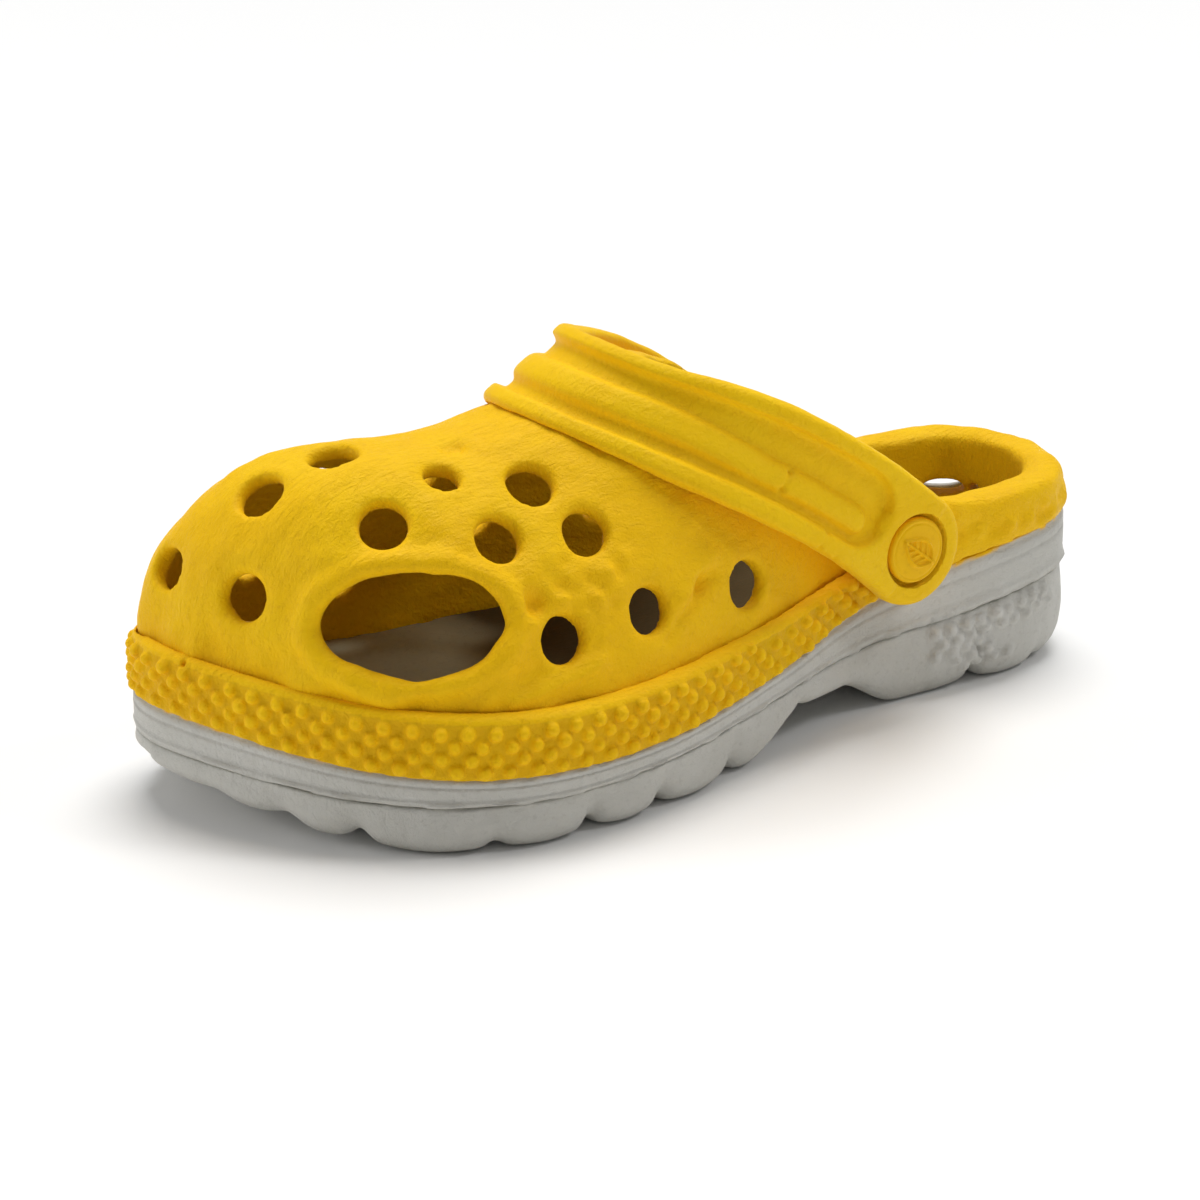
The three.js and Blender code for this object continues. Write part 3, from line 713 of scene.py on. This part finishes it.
def makeUpper():
    far = 112.0
    shell = vampSolid("upperShell", 0.0, .7, 120, 30)
    combine(shell, [sunkenCup("cup", 0.0)], "UNION")
    combine(shell, [vampSolid("hollow", wallAt, 20, 110, 24)])
    cut = prism("collar", upper["collar"] + [(far, 140), (-156, 140), (-156, shoe["rimHeight"])])
    combine(shell, [cut])
    o = upper["opening"]
    axis, centre = vampNormal(o["along"], o["rise"]), onVamp(o["along"], o["rise"], 1, 2.2)
    # a swollen lip all round the side opening
    lip = ontoVamp(openingPath(1.19, 2.2)[0], axis, -1.5)
    joined = [tube("lip", lip, 3.5, 14)]
    path, radii = heelRim()
    joined.append(tube("rim", path, radii + .1, 20, closed=False))
    combine(shell, joined, "UNION")
    for side in (1, -1):
        combine(shell, [crossRod("pad", upper["padRadius"], wallFace(side), bossFace(side) - side * .3)], "UNION")
        combine(shell, [crossRod("bore", 4.3, wallFace(side) - side * 5, bossFace(side) + side * 5)])
    for along, rise, side, radius in upper["holes"]:
        middle = onVamp(along, rise, side, shoe["wall"] / 2)
        out = vampNormal(along, rise, side)
        flare = upper["holeFlare"] * (1 if side > 0 else .1)
        throat = radius - (.5 if side > 0 else 1.2)  # the inner side's holes are a little narrower
        combine(shell, [rod("hole", middle, out, throat, 16, 40, flare=flare)])
    combine(shell, [rod("opening", centre, axis, o["width"] / 2 + .9, 30, 72, (1, o["height"] / o["width"]), 1.2)])
    blind = onVamp(71.1, 83.8)
    combine(shell, [rod("dimple", blind + vampNormal(71.1, 83.8) * 4.2, vampNormal(71.1, 83.8), 4.0, 12, 32, (1, .8))])
    combine(shell, [ventRod(v) for v in upper["vents"]])
    skin(shell, upper["voxel"], upper["smooth"])
    p = getPoints(shell)
    softenWhere(shell, (p[:, 0] < -66) & (p[:, 2] > 47), 26)  # the rim is rolled
    mould(shell, upperField)
    soften(shell, 1, .4)
    finishPiece(shell, "yellow", "shoe", "yellow_rubber", "upper_shell")
    return shell


makeUpper()
print("clog: upper shell made")

band = {
    "end": -56.0,
    "pitch": 7.0,
    "rowGap": 3.25,
    "knobRadius": 1.78,
    "lip": 2.6,
    "voxel": .5,
    "seed": 7,
}


def pointsObject(name, points, normals):
    made = toObject(name, points, [])
    facing = made.data.attributes.new("facing", "FLOAT_VECTOR", "POINT")
    facing.data.foreach_set("vector", np.asarray(normals, np.float32).ravel())
    return made


def knobTree(name, material):  # small domes set on every point, turned to its facing direction
    tree = bpy.data.node_groups.new(name, "GeometryNodeTree")
    face = tree.interface
    face.new_socket("Geometry", in_out="INPUT", socket_type="NodeSocketGeometry")
    for label, value in (("Knob Radius", .002), ("Knob Rise", .5), ("Size Spread", .15)):
        s = face.new_socket(label, in_out="INPUT", socket_type="NodeSocketFloat")
        s.default_value = value
    s = face.new_socket("Seed", in_out="INPUT", socket_type="NodeSocketInt")
    s.default_value = 1
    face.new_socket("Geometry", in_out="OUTPUT", socket_type="NodeSocketGeometry")
    add, link = tree.nodes.new, tree.links.new
    given, out = add("NodeGroupInput"), add("NodeGroupOutput")
    dome = add("GeometryNodeMeshIcoSphere")
    dome.inputs["Subdivisions"].default_value = 2
    link(given.outputs["Knob Radius"], dome.inputs["Radius"])
    flat = add("GeometryNodeTransform")
    size = add("ShaderNodeCombineXYZ")
    size.inputs[0].default_value = size.inputs[1].default_value = 1
    link(given.outputs["Knob Rise"], size.inputs[2])
    link(dome.outputs["Mesh"], flat.inputs["Geometry"])
    link(size.outputs[0], flat.inputs["Scale"])
    facing = add("GeometryNodeInputNamedAttribute")
    facing.data_type = "FLOAT_VECTOR"
    facing.inputs["Name"].default_value = "facing"
    turn = add("FunctionNodeAlignRotationToVector")
    turn.axis = "Z"
    link(facing.outputs["Attribute"], turn.inputs["Vector"])
    chance = add("FunctionNodeRandomValue")
    chance.data_type = "FLOAT"
    less, more = add("ShaderNodeMath"), add("ShaderNodeMath")
    less.operation, more.operation = "SUBTRACT", "ADD"
    less.inputs[0].default_value = more.inputs[0].default_value = 1
    link(given.outputs["Size Spread"], less.inputs[1])
    link(given.outputs["Size Spread"], more.inputs[1])
    link(less.outputs[0], chance.inputs[2])
    link(more.outputs[0], chance.inputs[3])
    link(given.outputs["Seed"], chance.inputs["Seed"])
    place = add("GeometryNodeInstanceOnPoints")
    link(given.outputs["Geometry"], place.inputs["Points"])
    link(flat.outputs["Geometry"], place.inputs["Instance"])
    link(turn.outputs["Rotation"], place.inputs["Rotation"])
    link(chance.outputs[1], place.inputs["Scale"])
    real, paint = add("GeometryNodeRealizeInstances"), add("GeometryNodeSetMaterial")
    paint.inputs["Material"].default_value = material
    link(place.outputs["Instances"], real.inputs["Geometry"])
    link(real.outputs["Geometry"], paint.inputs["Geometry"])
    link(paint.outputs["Geometry"], out.inputs["Geometry"])
    return tree


def growKnobs(o, tree, **values):
    m = o.modifiers.new("knobs", "NODES")
    m.node_group = tree
    ids = {item.name: item.identifier for item in tree.interface.items_tree if item.in_out == "INPUT"}
    for label, value in values.items():
        m[ids[label.replace("_", " ")]] = value
    return bake(o)


def bandKnobs():
    # one run round the front from the outer rivet to the inner one
    outer = sides[1][sides[1][:, 0] >= band["end"] + 2]
    inner = sides[-1][sides[-1][:, 0] >= band["end"] + 2]
    line = np.vstack([outer, inner[::-1][1:]])
    run = np.concatenate([[0], np.cumsum(np.linalg.norm(np.diff(line[:, :2], axis=0), axis=1))])
    rng = np.random.default_rng(band["seed"])
    points, normals = [], []
    for row in range(6):
        at = np.arange(2 + (row % 2) * band["pitch"] / 2, run[-1] - 2, band["pitch"])
        at = at + rng.uniform(-.4, .4, len(at))
        x, y, nx, ny = (np.interp(at, run, line[:, k]) for k in range(4))
        z = soleTop(x) + 1.9 + row * band["rowGap"] + rng.uniform(-.15, .15, len(at))
        keep = (z < bandTop(x) - band["lip"] + .6) & (rng.random(len(at)) > .02)
        depth = .1 + .25 * smoothStep(0, 1, (z - soleTop(x)) / (bandTop(x) - soleTop(x)))
        normal = np.column_stack([nx, ny, np.full(len(x), .12)])
        normal /= np.linalg.norm(normal, axis=1)[:, None]
        place = np.column_stack([x - nx * depth, y - ny * depth, z])
        points.append(place[keep])
        normals.append(normal[keep])
    return np.vstack(points), np.vstack(normals)


def bandField(points, normals):
    out = normals[:, 2] < .8
    return out * (.22 * lumps(points, 14, 71) + .14 * lumps(points, 5, 72) + .08 * lumps(points, 2.4, 73))


def makeBand():
    def at(share):
        return lambda x: soleTop(x) + .3 + (bandTop(x) - soleTop(x) - .3) * share

    def ragged(x, side):  # the band's lower edge wanders a little
        return .5 + .25 * np.sin(x * .9 + side) * np.sin(x * .37)

    rings = [levelRing(ragged, lambda x: soleTop(x) - .4), levelRing(.55, at(.12)), levelRing(.45, at(.45))]
    top = lambda back: (lambda x: bandTop(x) - back)
    rings += [levelRing(.85, top(4.0)), levelRing(.95, top(2.9)), levelRing(.75, top(2.3)), levelRing(.7, top(1.6)),
              levelRing(1.1, top(.8)), levelRing(1.9, top(.2)), levelRing(3.2, top(-.3))]
    body = ringSolid("foxingBand", rings)
    behind = prism("behind", [(-156, -5), (band["end"], -5), (band["end"], 80), (-156, 80)])
    inner = vampSolid("inner", -.3, 20, 110, 24)
    pads = [crossRod("pad", 12.3, wallFace(s) - s * .3, bossFace(s)) for s in (1, -1)]
    combine(body, [inner, behind] + pads)
    # a nick across the lip near the front
    nick = edgeAt(133.4, 1)
    combine(body, [rod("nick", (133.4, nick[0], float(bandTop(133.4)) - 1.2), (nick[1] * .8, nick[2] * .8, .6), 1.3, 12, 16,
                       (.5, 2.4))])
    points, normals = bandKnobs()
    knobs = pointsObject("bandKnobs", points, normals)
    growKnobs(knobs, knobTree("bandKnobTree", materials["yellow"]), Knob_Radius=band["knobRadius"] / 1000,
              Knob_Rise=.86, Size_Spread=.12, Seed=band["seed"])
    body = joinMeshes("foxingBand", [body, knobs])
    skin(body, band["voxel"], 1, .3)
    p = getPoints(body)
    tree = KDTree(len(points))
    for k, place in enumerate(points):
        tree.insert(place, k)
    tree.balance()
    away = np.array([tree.find(v)[2] for v in p])
    face = p[:, 2] < bandTop(p[:, 0]) - band["lip"] + .8
    paintMask(body, "shade", .3 * face * smoothStep(1.5, 2.6, away))  # painted shade: the valleys between the knobs are darker
    mould(body, bandField)
    finishPiece(body, "yellow", "shoe", "yellow_rubber", "foxing_band")


makeBand()
print("clog: band made")

midsole = {"steps": [.0, .10, .16, .20, .30, .55, .62, .66, .70, .86, .90, .95, 1.0],
           "insets": [.55, .15, .10, .45, .25, .20, .22, .55, .30, .35, .9, 1.15, 1.25]}


def makeMidsole():
    n = 260
    rings = []
    for share, depth in zip(midsole["steps"], midsole["insets"]):
        def inset(x, side, depth=depth, share=share):
            p = np.column_stack([x, side * 60, np.full(len(x), share * 30)])
            wander = .10 * lumps(p, 9, 81) + .07 * lumps(p, 3.5, 82)
            flash = (.75 * smoothStep(.05, .5, lumps(p, 5, 83)) - .25 * smoothStep(.2, .7, lumps(p, 2.6, 87))) if share < .12 else 0
            return depth - wander - flash
        rings.append(levelRing(inset, lambda x, share=share: partingLine(x) + .4 + (soleTop(x) - partingLine(x) - .4) * share, n))
    sole = ringSolid("midsoleWall", rings)
    recess = vampSolid("recess", wallAt, 20, 90, 20)
    combine(recess, [slab("over", lambda x: footbedUnder(x) - .3, lambda x: np.full(np.shape(x), 53.5))], "INTERSECT")
    combine(sole, [recess, sunkenCup("cup", .3)])
    combine(sole, [ventRod(v) for v in upper["vents"]])
    points = getPoints(sole)
    share = (points[:, 2] - partingLine(points[:, 0])) / (soleTop(points[:, 0]) - partingLine(points[:, 0]))
    seam = np.exp(-((share - .02) / .05) ** 2) + np.exp(-((share - .66) / .03) ** 2) * .6
    wear_and_shade = .5 + .5 * lumps(points, 14, 84)
    toe = smoothStep(60, 110, points[:, 0])
    paintMask(sole, "soil", seam * .55 * wear_and_shade + .10 * wear_and_shade + .25 * toe * smoothStep(.9, 1, share))
    ragged = .95 + .03 * lumps(points, 3.2, 85)
    paintMask(sole, "paint", smoothStep(0, .02, share - ragged) * (share < 1.3))
    finishPiece(sole, "grey", "shoe", "grey_rubber", "midsole")


makeMidsole()
print("clog: midsole made")

outsole = {
    "grooves": [(131, .4), (122, .7), (110, 1.0), (81, .5), (54, 1.0), (31, .9), (4, .9), (-24, .4), (-89.5, .9),
                (-114, .35)],
    "treadInset": 4.5,
    "notchRise": 3.6,
    "pinch": 3.4,
    "voxel": .72,
}


def makeOutsole():
    n = 260

    def groove(x, side, sharp=.5):
        x, side = np.atleast_1d(x), np.atleast_1d(side)
        g = np.zeros(len(x))
        for place, depth in outsole["grooves"]:
            d = x - place - np.where(side < 0, 4, 0)
            g = np.maximum(g, depth * (sharp * np.exp(-(d / 2.3) ** 2) + (1 - sharp) * np.exp(-(d / 8.0) ** 2)))
        return g

    levels = [(0, 4.6), (.04, 3.0), (.12, 1.5), (.24, .45), (.40, -.1), (.58, -.15), (.74, .15), (.88, .45), (.96, .6), (1, 1.0)]
    rings = []
    notch = groove(*ringPlaces(n), .8)
    for share, depth in [(0, 16)] + levels:  # the first ring lies under the shoe, inside the tread's edge
        under = depth > 10

        def inset(x, side, depth=depth, share=share, under=under):
            pinch = outsole["pinch"] * groove(x, side) * (1 - share) ** .55
            return depth + pinch * (.2 if under else 1)

        def height(px, share=share, under=under):
            low = groundLine(px) + outsole["notchRise"] * notch * (.35 if under else 1)
            return low + (partingLine(px) - low) * share
        rings.append(levelRing(inset, height, n))
    sole = ringSolid("outsoleTread", rings)
    # nubs on the heel block: a strip under the parting line and a slanting patch below it
    rng = np.random.default_rng(5)
    points, normals = [], []
    for side in (1, -1):
        for row in range(8):
            for x in np.arange(-74 - (row % 2) * 2.5, -130, -5.0):
                drop = 3.2 + row * 3.1
                inPatch = abs((x + 86) * .9 + (drop - 12) * .9) < 9 and drop < 21
                if not (row < 2 and x > -117) and not inPatch:
                    continue
                px = x + rng.uniform(-.5, .5)
                e = edgeAt(px, side)
                z = float(partingLine(px)) - drop + rng.uniform(-.3, .3)
                share = (z - float(groundLine(px))) / float(partingLine(px) - groundLine(px))
                if share < .25:
                    continue
                inset = outsole["pinch"] * float(groove(px, side)[0]) * (1 - share) ** .55
                inset += float(np.interp(share, *zip(*levels))) - .25
                points.append((px - e[1] * inset, e[0] - e[2] * inset, z))
                normals.append((e[1], e[2], -.05))
    nubs = pointsObject("heelNubs", points, normals)
    growKnobs(nubs, knobTree("heelNubTree", materials["grey"]), Knob_Radius=.0018, Knob_Rise=1.0, Size_Spread=.15, Seed=3)
    sole = joinMeshes("outsoleTread", [sole, nubs])
    skin(sole, outsole["voxel"], 1, .4)

    def field(p, nrm):
        sides = 1 - np.abs(nrm[:, 2]) ** 3
        d = .45 * lumps(p, 17, 91) + .2 * lumps(p, 7, 92) + .07 * lumps(p, 3, 93)
        return sides * d
    mould(sole, field)
    p = getPoints(sole)
    share = (p[:, 2] - groundLine(p[:, 0])) / (partingLine(p[:, 0]) - groundLine(p[:, 0]))
    wear_and_shade = .5 + .5 * lumps(p, 16, 94)
    paintMask(sole, "soil", .5 * wear_and_shade * (1 - smoothStep(.0, .35, share)) + .5 * smoothStep(.93, 1, share) * wear_and_shade + .08 * wear_and_shade)
    paintMask(sole, "paint", np.zeros(len(p)))
    finishPiece(sole, "grey", "shoe", "grey_rubber", "outsole")


makeOutsole()
print("clog: outsole made")


def makeFootbed():
    bed = slab("footbedPad", footbedUnder, footbedTop, 2, 120)
    room = vampSolid("room", lambda x: wallAt(x) + .3, 20, 110, 20)
    combine(bed, [room], "INTERSECT")
    for side in (1, -1):
        combine(bed, [crossRod("pad", 12.3, wallFace(side) - side * 2.7, bossFace(side))])
    skin(bed, 1.5, 2)
    rng = np.random.default_rng(9)
    points, normals = [], []
    for i, x in enumerate(np.arange(-104, -56, 6.0)):
        for y in np.arange(-36, 37, 6.0) + (i % 2) * 3:
            outer = float(edgeAt(x, 1)[0]) - 17
            inner = float(edgeAt(x, -1)[0]) + 17
            if inner < y < outer:
                points.append((x, y, float(footbedTop(x)) - .35))
                normals.append((0, 0, 1))
    mould(bed, lambda p, nrm: (nrm[:, 2] > .5) * (.25 * lumps(p, 20, 101) + .12 * lumps(p, 6, 102)))
    nubs = pointsObject("bedNubs", points, normals)
    growKnobs(nubs, knobTree("bedNubTree", materials["footbed"]), Knob_Radius=.0015, Knob_Rise=.6, Size_Spread=.1, Seed=2)
    bed = joinMeshes("footbedPad", [bed, nubs])
    p = getPoints(bed)
    # painted shade: dark under the instep, where the vamp above shades the footbed
    paintMask(bed, "wear_and_shade", .95 * smoothStep(-80, -56, p[:, 0] + 4 * lumps(p, 12, 104))
              * (1 - smoothStep(24, 50, p[:, 0] + 5 * lumps(p, 12, 103))))
    finishPiece(bed, "footbed", "shoe", "grey_footbed", "footbed")


makeFootbed()
print("clog: footbed made")

strap = {
    "angle": 30.5, "reach": 98.0, "halfSpan": 38.5, "halfBand": 15.5, "thickness": 4.0, "lip": 1.8,
    "bow": 5.0, "flare": .36, "tiltAtTop": 31.0, "power": 2.2,
    "bossRadius": 15.5, "bossThickness": 5.6, "recess": 2.2, "recessRadius": 10.3, "postRadius": 4.0,
    "pocket": 2.9, "bar": 2.6, "voxel": .62, "smooth": 2,
}


def strapGrid(steps=420, across=52):
    rad = math.radians
    out = np.array([math.cos(rad(strap["angle"])), 0, math.sin(rad(strap["angle"]))])
    lift = np.array([-out[2], 0, out[0]])
    pivot = np.array([upper["pivot"][0], shoe["midline"], upper["pivot"][1]])
    half = strap["halfBand"]
    u = np.linspace(-half, half, across)
    rows = []
    for k in range(steps + 1):
        turn = math.pi * k / steps
        s, c = max(0.0, math.sin(turn)), math.cos(turn)
        reach = s ** (2 / strap["power"])
        span = math.copysign(abs(c) ** (2 / strap["power"]), c)
        centre = pivot + out * strap["reach"] * reach + lift * 4 * strap["bow"] * reach * (1 - reach)
        centre[1] += strap["halfSpan"] * span
        armTilt = rad(90 - strap["angle"]) - math.atan(4 * strap["bow"] * (1 - 2 * reach) / strap["reach"])
        tilt = armTilt + (rad(strap["tiltAtTop"]) - armTilt) * float(smoothStep(.3, 1, reach))
        flare = strap["flare"] * math.sin(math.pi * reach) * (1 if c > 0 else -1 if c < 0 else 0)
        width = np.array([math.cos(tilt), 0, -math.sin(tilt)])
        face = out * reach ** (strap["power"] - 1) / strap["reach"]
        face[1] = math.copysign(abs(span) ** (strap["power"] - 1), span) / strap["halfSpan"]
        face = face - width * (face @ width)
        face /= np.linalg.norm(face)
        # how far along the strap from the rivet, for the pocket and the bar with their round ends
        fromPivot = strap["reach"] * reach
        rows.append((centre, width, face, flare, fromPivot))
    return rows, u


def strapHeight(u, fromPivot):
    # thickness over the width: raised lips, a sunk pocket with a round end, and a broad bar in it
    half, t = strap["halfBand"], strap["thickness"]
    top = t + strap["lip"] + .3
    lane = u + .3
    pocketHalf = half - 5.6
    ahead = fromPivot - 13.5 - pocketHalf
    away = np.where(ahead > 0, np.abs(lane), np.hypot(lane, ahead))
    pocket = 1 - smoothStep(pocketHalf - .7, pocketHalf + .7, away)
    # the bar is narrow and near the front lip by the rivet, broader over the instep
    broad = float(smoothStep(45, 90, fromPivot))
    barLane = u - 3.1 + 2.6 * broad
    barHalf = 3.7 + 1.1 * broad
    barAhead = fromPivot - 19 - barHalf
    barAway = np.where(barAhead > 0, np.abs(barLane), np.hypot(barLane, barAhead))
    bar = np.clip(1 - (barAway / barHalf) ** 3, 0, 1) ** .5
    h = top - pocket * strap["pocket"] + pocket * bar * strap["bar"]
    edge = np.clip((half - np.abs(u)) / 2.6, 0, 1)
    return h * (.52 + .48 * np.sqrt(1 - (1 - edge) ** 2))


def strapField(points, normals):
    d = .22 * lumps(points, 22, 111) + .13 * lumps(points, 7, 112) + .05 * lumps(points, 3, 113)
    for a, b, width, depth in strapCracks:
        d += bulge(points, np.array([a, b]), width, depth)
    return d


strapCracks = []


def makeStrap():
    rows, u = strapGrid()
    points, faces = [], []
    m = len(u)
    for centre, width, face, flare, fromPivot in rows:
        h = strapHeight(u, fromPivot)
        topRow = centre + u[:, None] * width + h[:, None] * face
        edge = np.clip((strap["halfBand"] - np.abs(u)) / 1.6, 0, 1)
        low = 1.1 * (1 - np.sqrt(1 - (1 - edge) ** 2))
        lowRow = centre + u[:, None] * width + low[:, None] * face
        row = np.vstack([topRow, lowRow[::-1]])
        row[:, 1] += flare * np.maximum(0, np.concatenate([u, u[::-1]]))
        points.append(row)
    size = 2 * m
    for k in range(len(rows) - 1):
        for i in range(size):
            j = (i + 1) % size
            faces.append((k * size + i, k * size + j, (k + 1) * size + j, (k + 1) * size + i))
    # cracks across the bar and the front lip on the outer side
    def spot(fromPivot, at, lift):
        centre, width, face, flare, _ = min(rows[:len(rows) // 2], key=lambda row: abs(row[4] - fromPivot))
        p = centre + at * width + lift * face
        return p + [0, flare * max(0, at), 0]
    for along, a0, a1, w, depth in ((47, .5, 6.5, .7, -1.4), (31, 9.5, 14.5, .7, -1.2), (24, 11, 15, .7, -.7)):
        strapCracks.append((spot(along, a0, 5), spot(along + 1.5, a1, 5), w, depth))
    last = (len(rows) - 1) * size
    faces.append(list(range(size))[::-1])
    faces.append([last + i for i in range(size)])
    body = toObject("heelStrap", np.vstack(points), faces)
    fixNormals(body)
    for side in (1, -1):
        inFace = bossFace(side)
        outFace = inFace + side * strap["bossThickness"]
        r = strap["bossRadius"]
        disc = lathe("boss", [(0, 0), (r - .8, 0), (r, .8), (r, strap["bossThickness"] - 2.0), (r - .5, strap["bossThickness"] - .9),
                              (r - 1.8, strap["bossThickness"] - .1), (r - 3, strap["bossThickness"]), (0, strap["bossThickness"])],
                     (upper["pivot"][0], inFace, upper["pivot"][1]), (0, side, 0), 64)
        fixNormals(disc)
        combine(body, [disc], "UNION")
    skin(body, strap["voxel"], strap["smooth"], .4)
    mould(body, strapField)
    for side in (1, -1):
        inFace = bossFace(side)
        outFace = inFace + side * strap["bossThickness"]
        floor = outFace - side * strap["recess"]
        well = lathe("well", [(0, 0), (strap["recessRadius"], 0), (strap["recessRadius"], 2.6), (strap["recessRadius"] + .5, 3.2),
                              (strap["recessRadius"] + .5, 7), (0, 7)],
                     (upper["pivot"][0], floor, upper["pivot"][1]), (0, side, 0), 96)
        fixNormals(well)
        bore = crossRod("bore", strap["postRadius"] + .3, inFace - side * 3, outFace + side * 5)
        clear = crossRod("clear", strap["bossRadius"] + 14, shoe["midline"], inFace - side * .01)
        combine(body, [well, bore, clear])
    combine(body, [vampSolid("rest", -.8, 30, 110, 30)])
    finishPiece(body, "strap", "strap", "yellow_strap", "heel_strap")


makeStrap()
print("clog: strap made")

rivet = {"capRadius": 8.9, "capThickness": 2.3, "washerRadius": 7.0, "washerThickness": 2.4}


def leafRelief(p, q):  # a plain leaf with a rib and veins, raised in outline on the cap
    a = math.radians(38)
    along = p * math.cos(a) + q * math.sin(a)
    across = -p * math.sin(a) + q * math.cos(a)
    t = np.clip((along + 5.8) / 11.6, 0, 1)
    half = 3.5 * np.sin(np.pi * t ** .8)
    inside = (np.abs(along) < 5.8)
    rim = np.exp(-((np.abs(across) - half) / .42) ** 2) * inside
    rib = np.exp(-(across / .36) ** 2) * (np.abs(along + .6) < 6.3)
    veins = np.exp(-((np.mod(along - .8 * np.abs(across), 2.3) - 1.15) / .34) ** 2) * (np.abs(across) < half) * inside
    return .85 * np.maximum(np.maximum(rim, rib), .65 * veins)


def makeCap(side, name, node):
    floor = 38.5 + strap["bossThickness"] - .1 - strap["recess"] + .3
    end = abs(wallFace(side) - shoe["midline"]) - .3 - rivet["washerThickness"]
    segments, rings = 120, 44
    profile = [(0, end), (strap["postRadius"], end), (strap["postRadius"], floor), (rivet["capRadius"] - .3, floor),
               (rivet["capRadius"], floor + .3), (rivet["capRadius"], floor + rivet["capThickness"] - .9),
               (rivet["capRadius"] - .25, floor + rivet["capThickness"] - .35)]
    for k in range(rings, -1, -1):
        r = (rivet["capRadius"] - .7) * k / rings
        profile.append((r, floor + rivet["capThickness"] + .25 * (1 - (r / rivet["capRadius"]) ** 2)))
    x, z = upper["pivot"]
    cap = lathe(name, profile, (x, shoe["midline"], z), (0, side, 0), segments)
    fixNormals(cap)
    v = getPoints(cap)
    face = (v[:, 1] - shoe["midline"]) * side > floor + rivet["capThickness"] - .2
    v[:, 1] += side * face * leafRelief((v[:, 0] - x) * side, v[:, 2] - z)
    ring = np.exp(-((np.hypot(v[:, 0] - x, v[:, 2] - z) - 7.6) / .35) ** 2)
    v[:, 1] -= side * face * .2 * ring
    setPoints(cap, v)
    finishPiece(cap, "rivet", "shoe", "yellow_rivet", node)


def makeBack(side, name, node):
    x, z = upper["pivot"]
    outer = abs(wallFace(side) - shoe["midline"]) - .3
    r, t = rivet["washerRadius"], rivet["washerThickness"]
    back = lathe(name, [(strap["postRadius"] + .3, outer), (r - .3, outer), (r, outer - .4), (r, outer - t + .9),
                        (r - .5, outer - t + .25), (r - 1.2, outer - t), (strap["postRadius"] + .8, outer - t),
                        (strap["postRadius"] + .3, outer - t + .4), (strap["postRadius"] + .3, outer)],
                 (x, shoe["midline"], z), (0, side, 0), 64)
    fixNormals(back)
    finishPiece(back, "rivet", "shoe", "yellow_rivet", node)


makeCap(1, "rivetCapLeft", "rivet_cap_left")
makeCap(-1, "rivetCapRight", "rivet_cap_right")
makeBack(1, "rivetBackLeft", "rivet_back_left")
makeBack(-1, "rivetBackRight", "rivet_back_right")
print("clog: rivets made")

studio = {
    "azimuth": 144.5, "elevation": 20.0, "distance": 1.1, "target": (.003, -.002, .040),
    "lens": 125.4, "shiftX": -.025, "shiftY": -.0167, "floorHalf": 6.0,
}


def makeFloor():
    h = studio["floorHalf"]
    floor = toObject("floor", np.array([(-h, -h, 0), (h, -h, 0), (h, h, 0), (-h, h, 0)]) * 1000, [(0, 1, 2, 3)])
    mat = bpy.data.materials.new("paleFloor")
    mat.use_nodes = True
    shader = mat.node_tree.nodes["Principled BSDF"]
    shader.inputs["Base Color"].default_value = (.93, .93, .925, 1)
    shader.inputs["Roughness"].default_value = .9
    shader.inputs["Specular IOR Level"].default_value = .1
    floor.data.materials.append(mat)


def softLight(name, place, aim, size, power, colour=(1, 1, 1)):
    data = bpy.data.lights.new(name, "AREA")
    data.shape, data.size, data.energy, data.color = "DISK", size, power, colour
    lamp = bpy.data.objects.new(name, data)
    bpy.context.collection.objects.link(lamp)
    lamp.location = place
    lamp.rotation_euler = (Vector(aim) - Vector(place)).to_track_quat("-Z", "Y").to_euler()


def skyLight(name, towards, strength, spread):  # a broad even light over the whole floor
    data = bpy.data.lights.new(name, "SUN")
    data.energy, data.angle = strength, math.radians(spread)
    lamp = bpy.data.objects.new(name, data)
    bpy.context.collection.objects.link(lamp)
    lamp.rotation_euler = (-Vector(towards)).to_track_quat("-Z", "Y").to_euler()


def makeCamera():
    a, e = math.radians(studio["azimuth"]), math.radians(studio["elevation"])
    back = Vector((math.sin(a) * math.cos(e), -math.cos(a) * math.cos(e), math.sin(e)))
    data = bpy.data.cameras.new("camera")
    camera = bpy.data.objects.new("camera", data)
    bpy.context.collection.objects.link(camera)
    data.sensor_width = 36
    data.lens = studio["lens"]
    data.shift_x, data.shift_y = studio["shiftX"], studio["shiftY"]
    data.clip_start, data.clip_end = .05, 50
    camera.location = Vector(studio["target"]) + back * studio["distance"]
    camera.rotation_euler = (-back).to_track_quat("-Z", "Y").to_euler()
    bpy.context.scene.camera = camera


makeFloor()
makeCamera()
skyLight("softSky", (-.26, -.26, 1), 2.45, 42)
softLight("key", (-.9, .75, 1.2), (-.03, 0, .05), .35, 4.0)
softLight("toeFill", (1.35, -.75, .6), (.06, 0, .04), .8, 6.5)
world = bpy.data.worlds.new("paleRoom")
bpy.context.scene.world = world
world.use_nodes = True
world.node_tree.nodes["Background"].inputs["Color"].default_value = (1, 1, 1, 1)
world.node_tree.nodes["Background"].inputs["Strength"].default_value = .24
bpy.context.scene.view_settings.view_transform = "Standard"
print("clog: studio set")
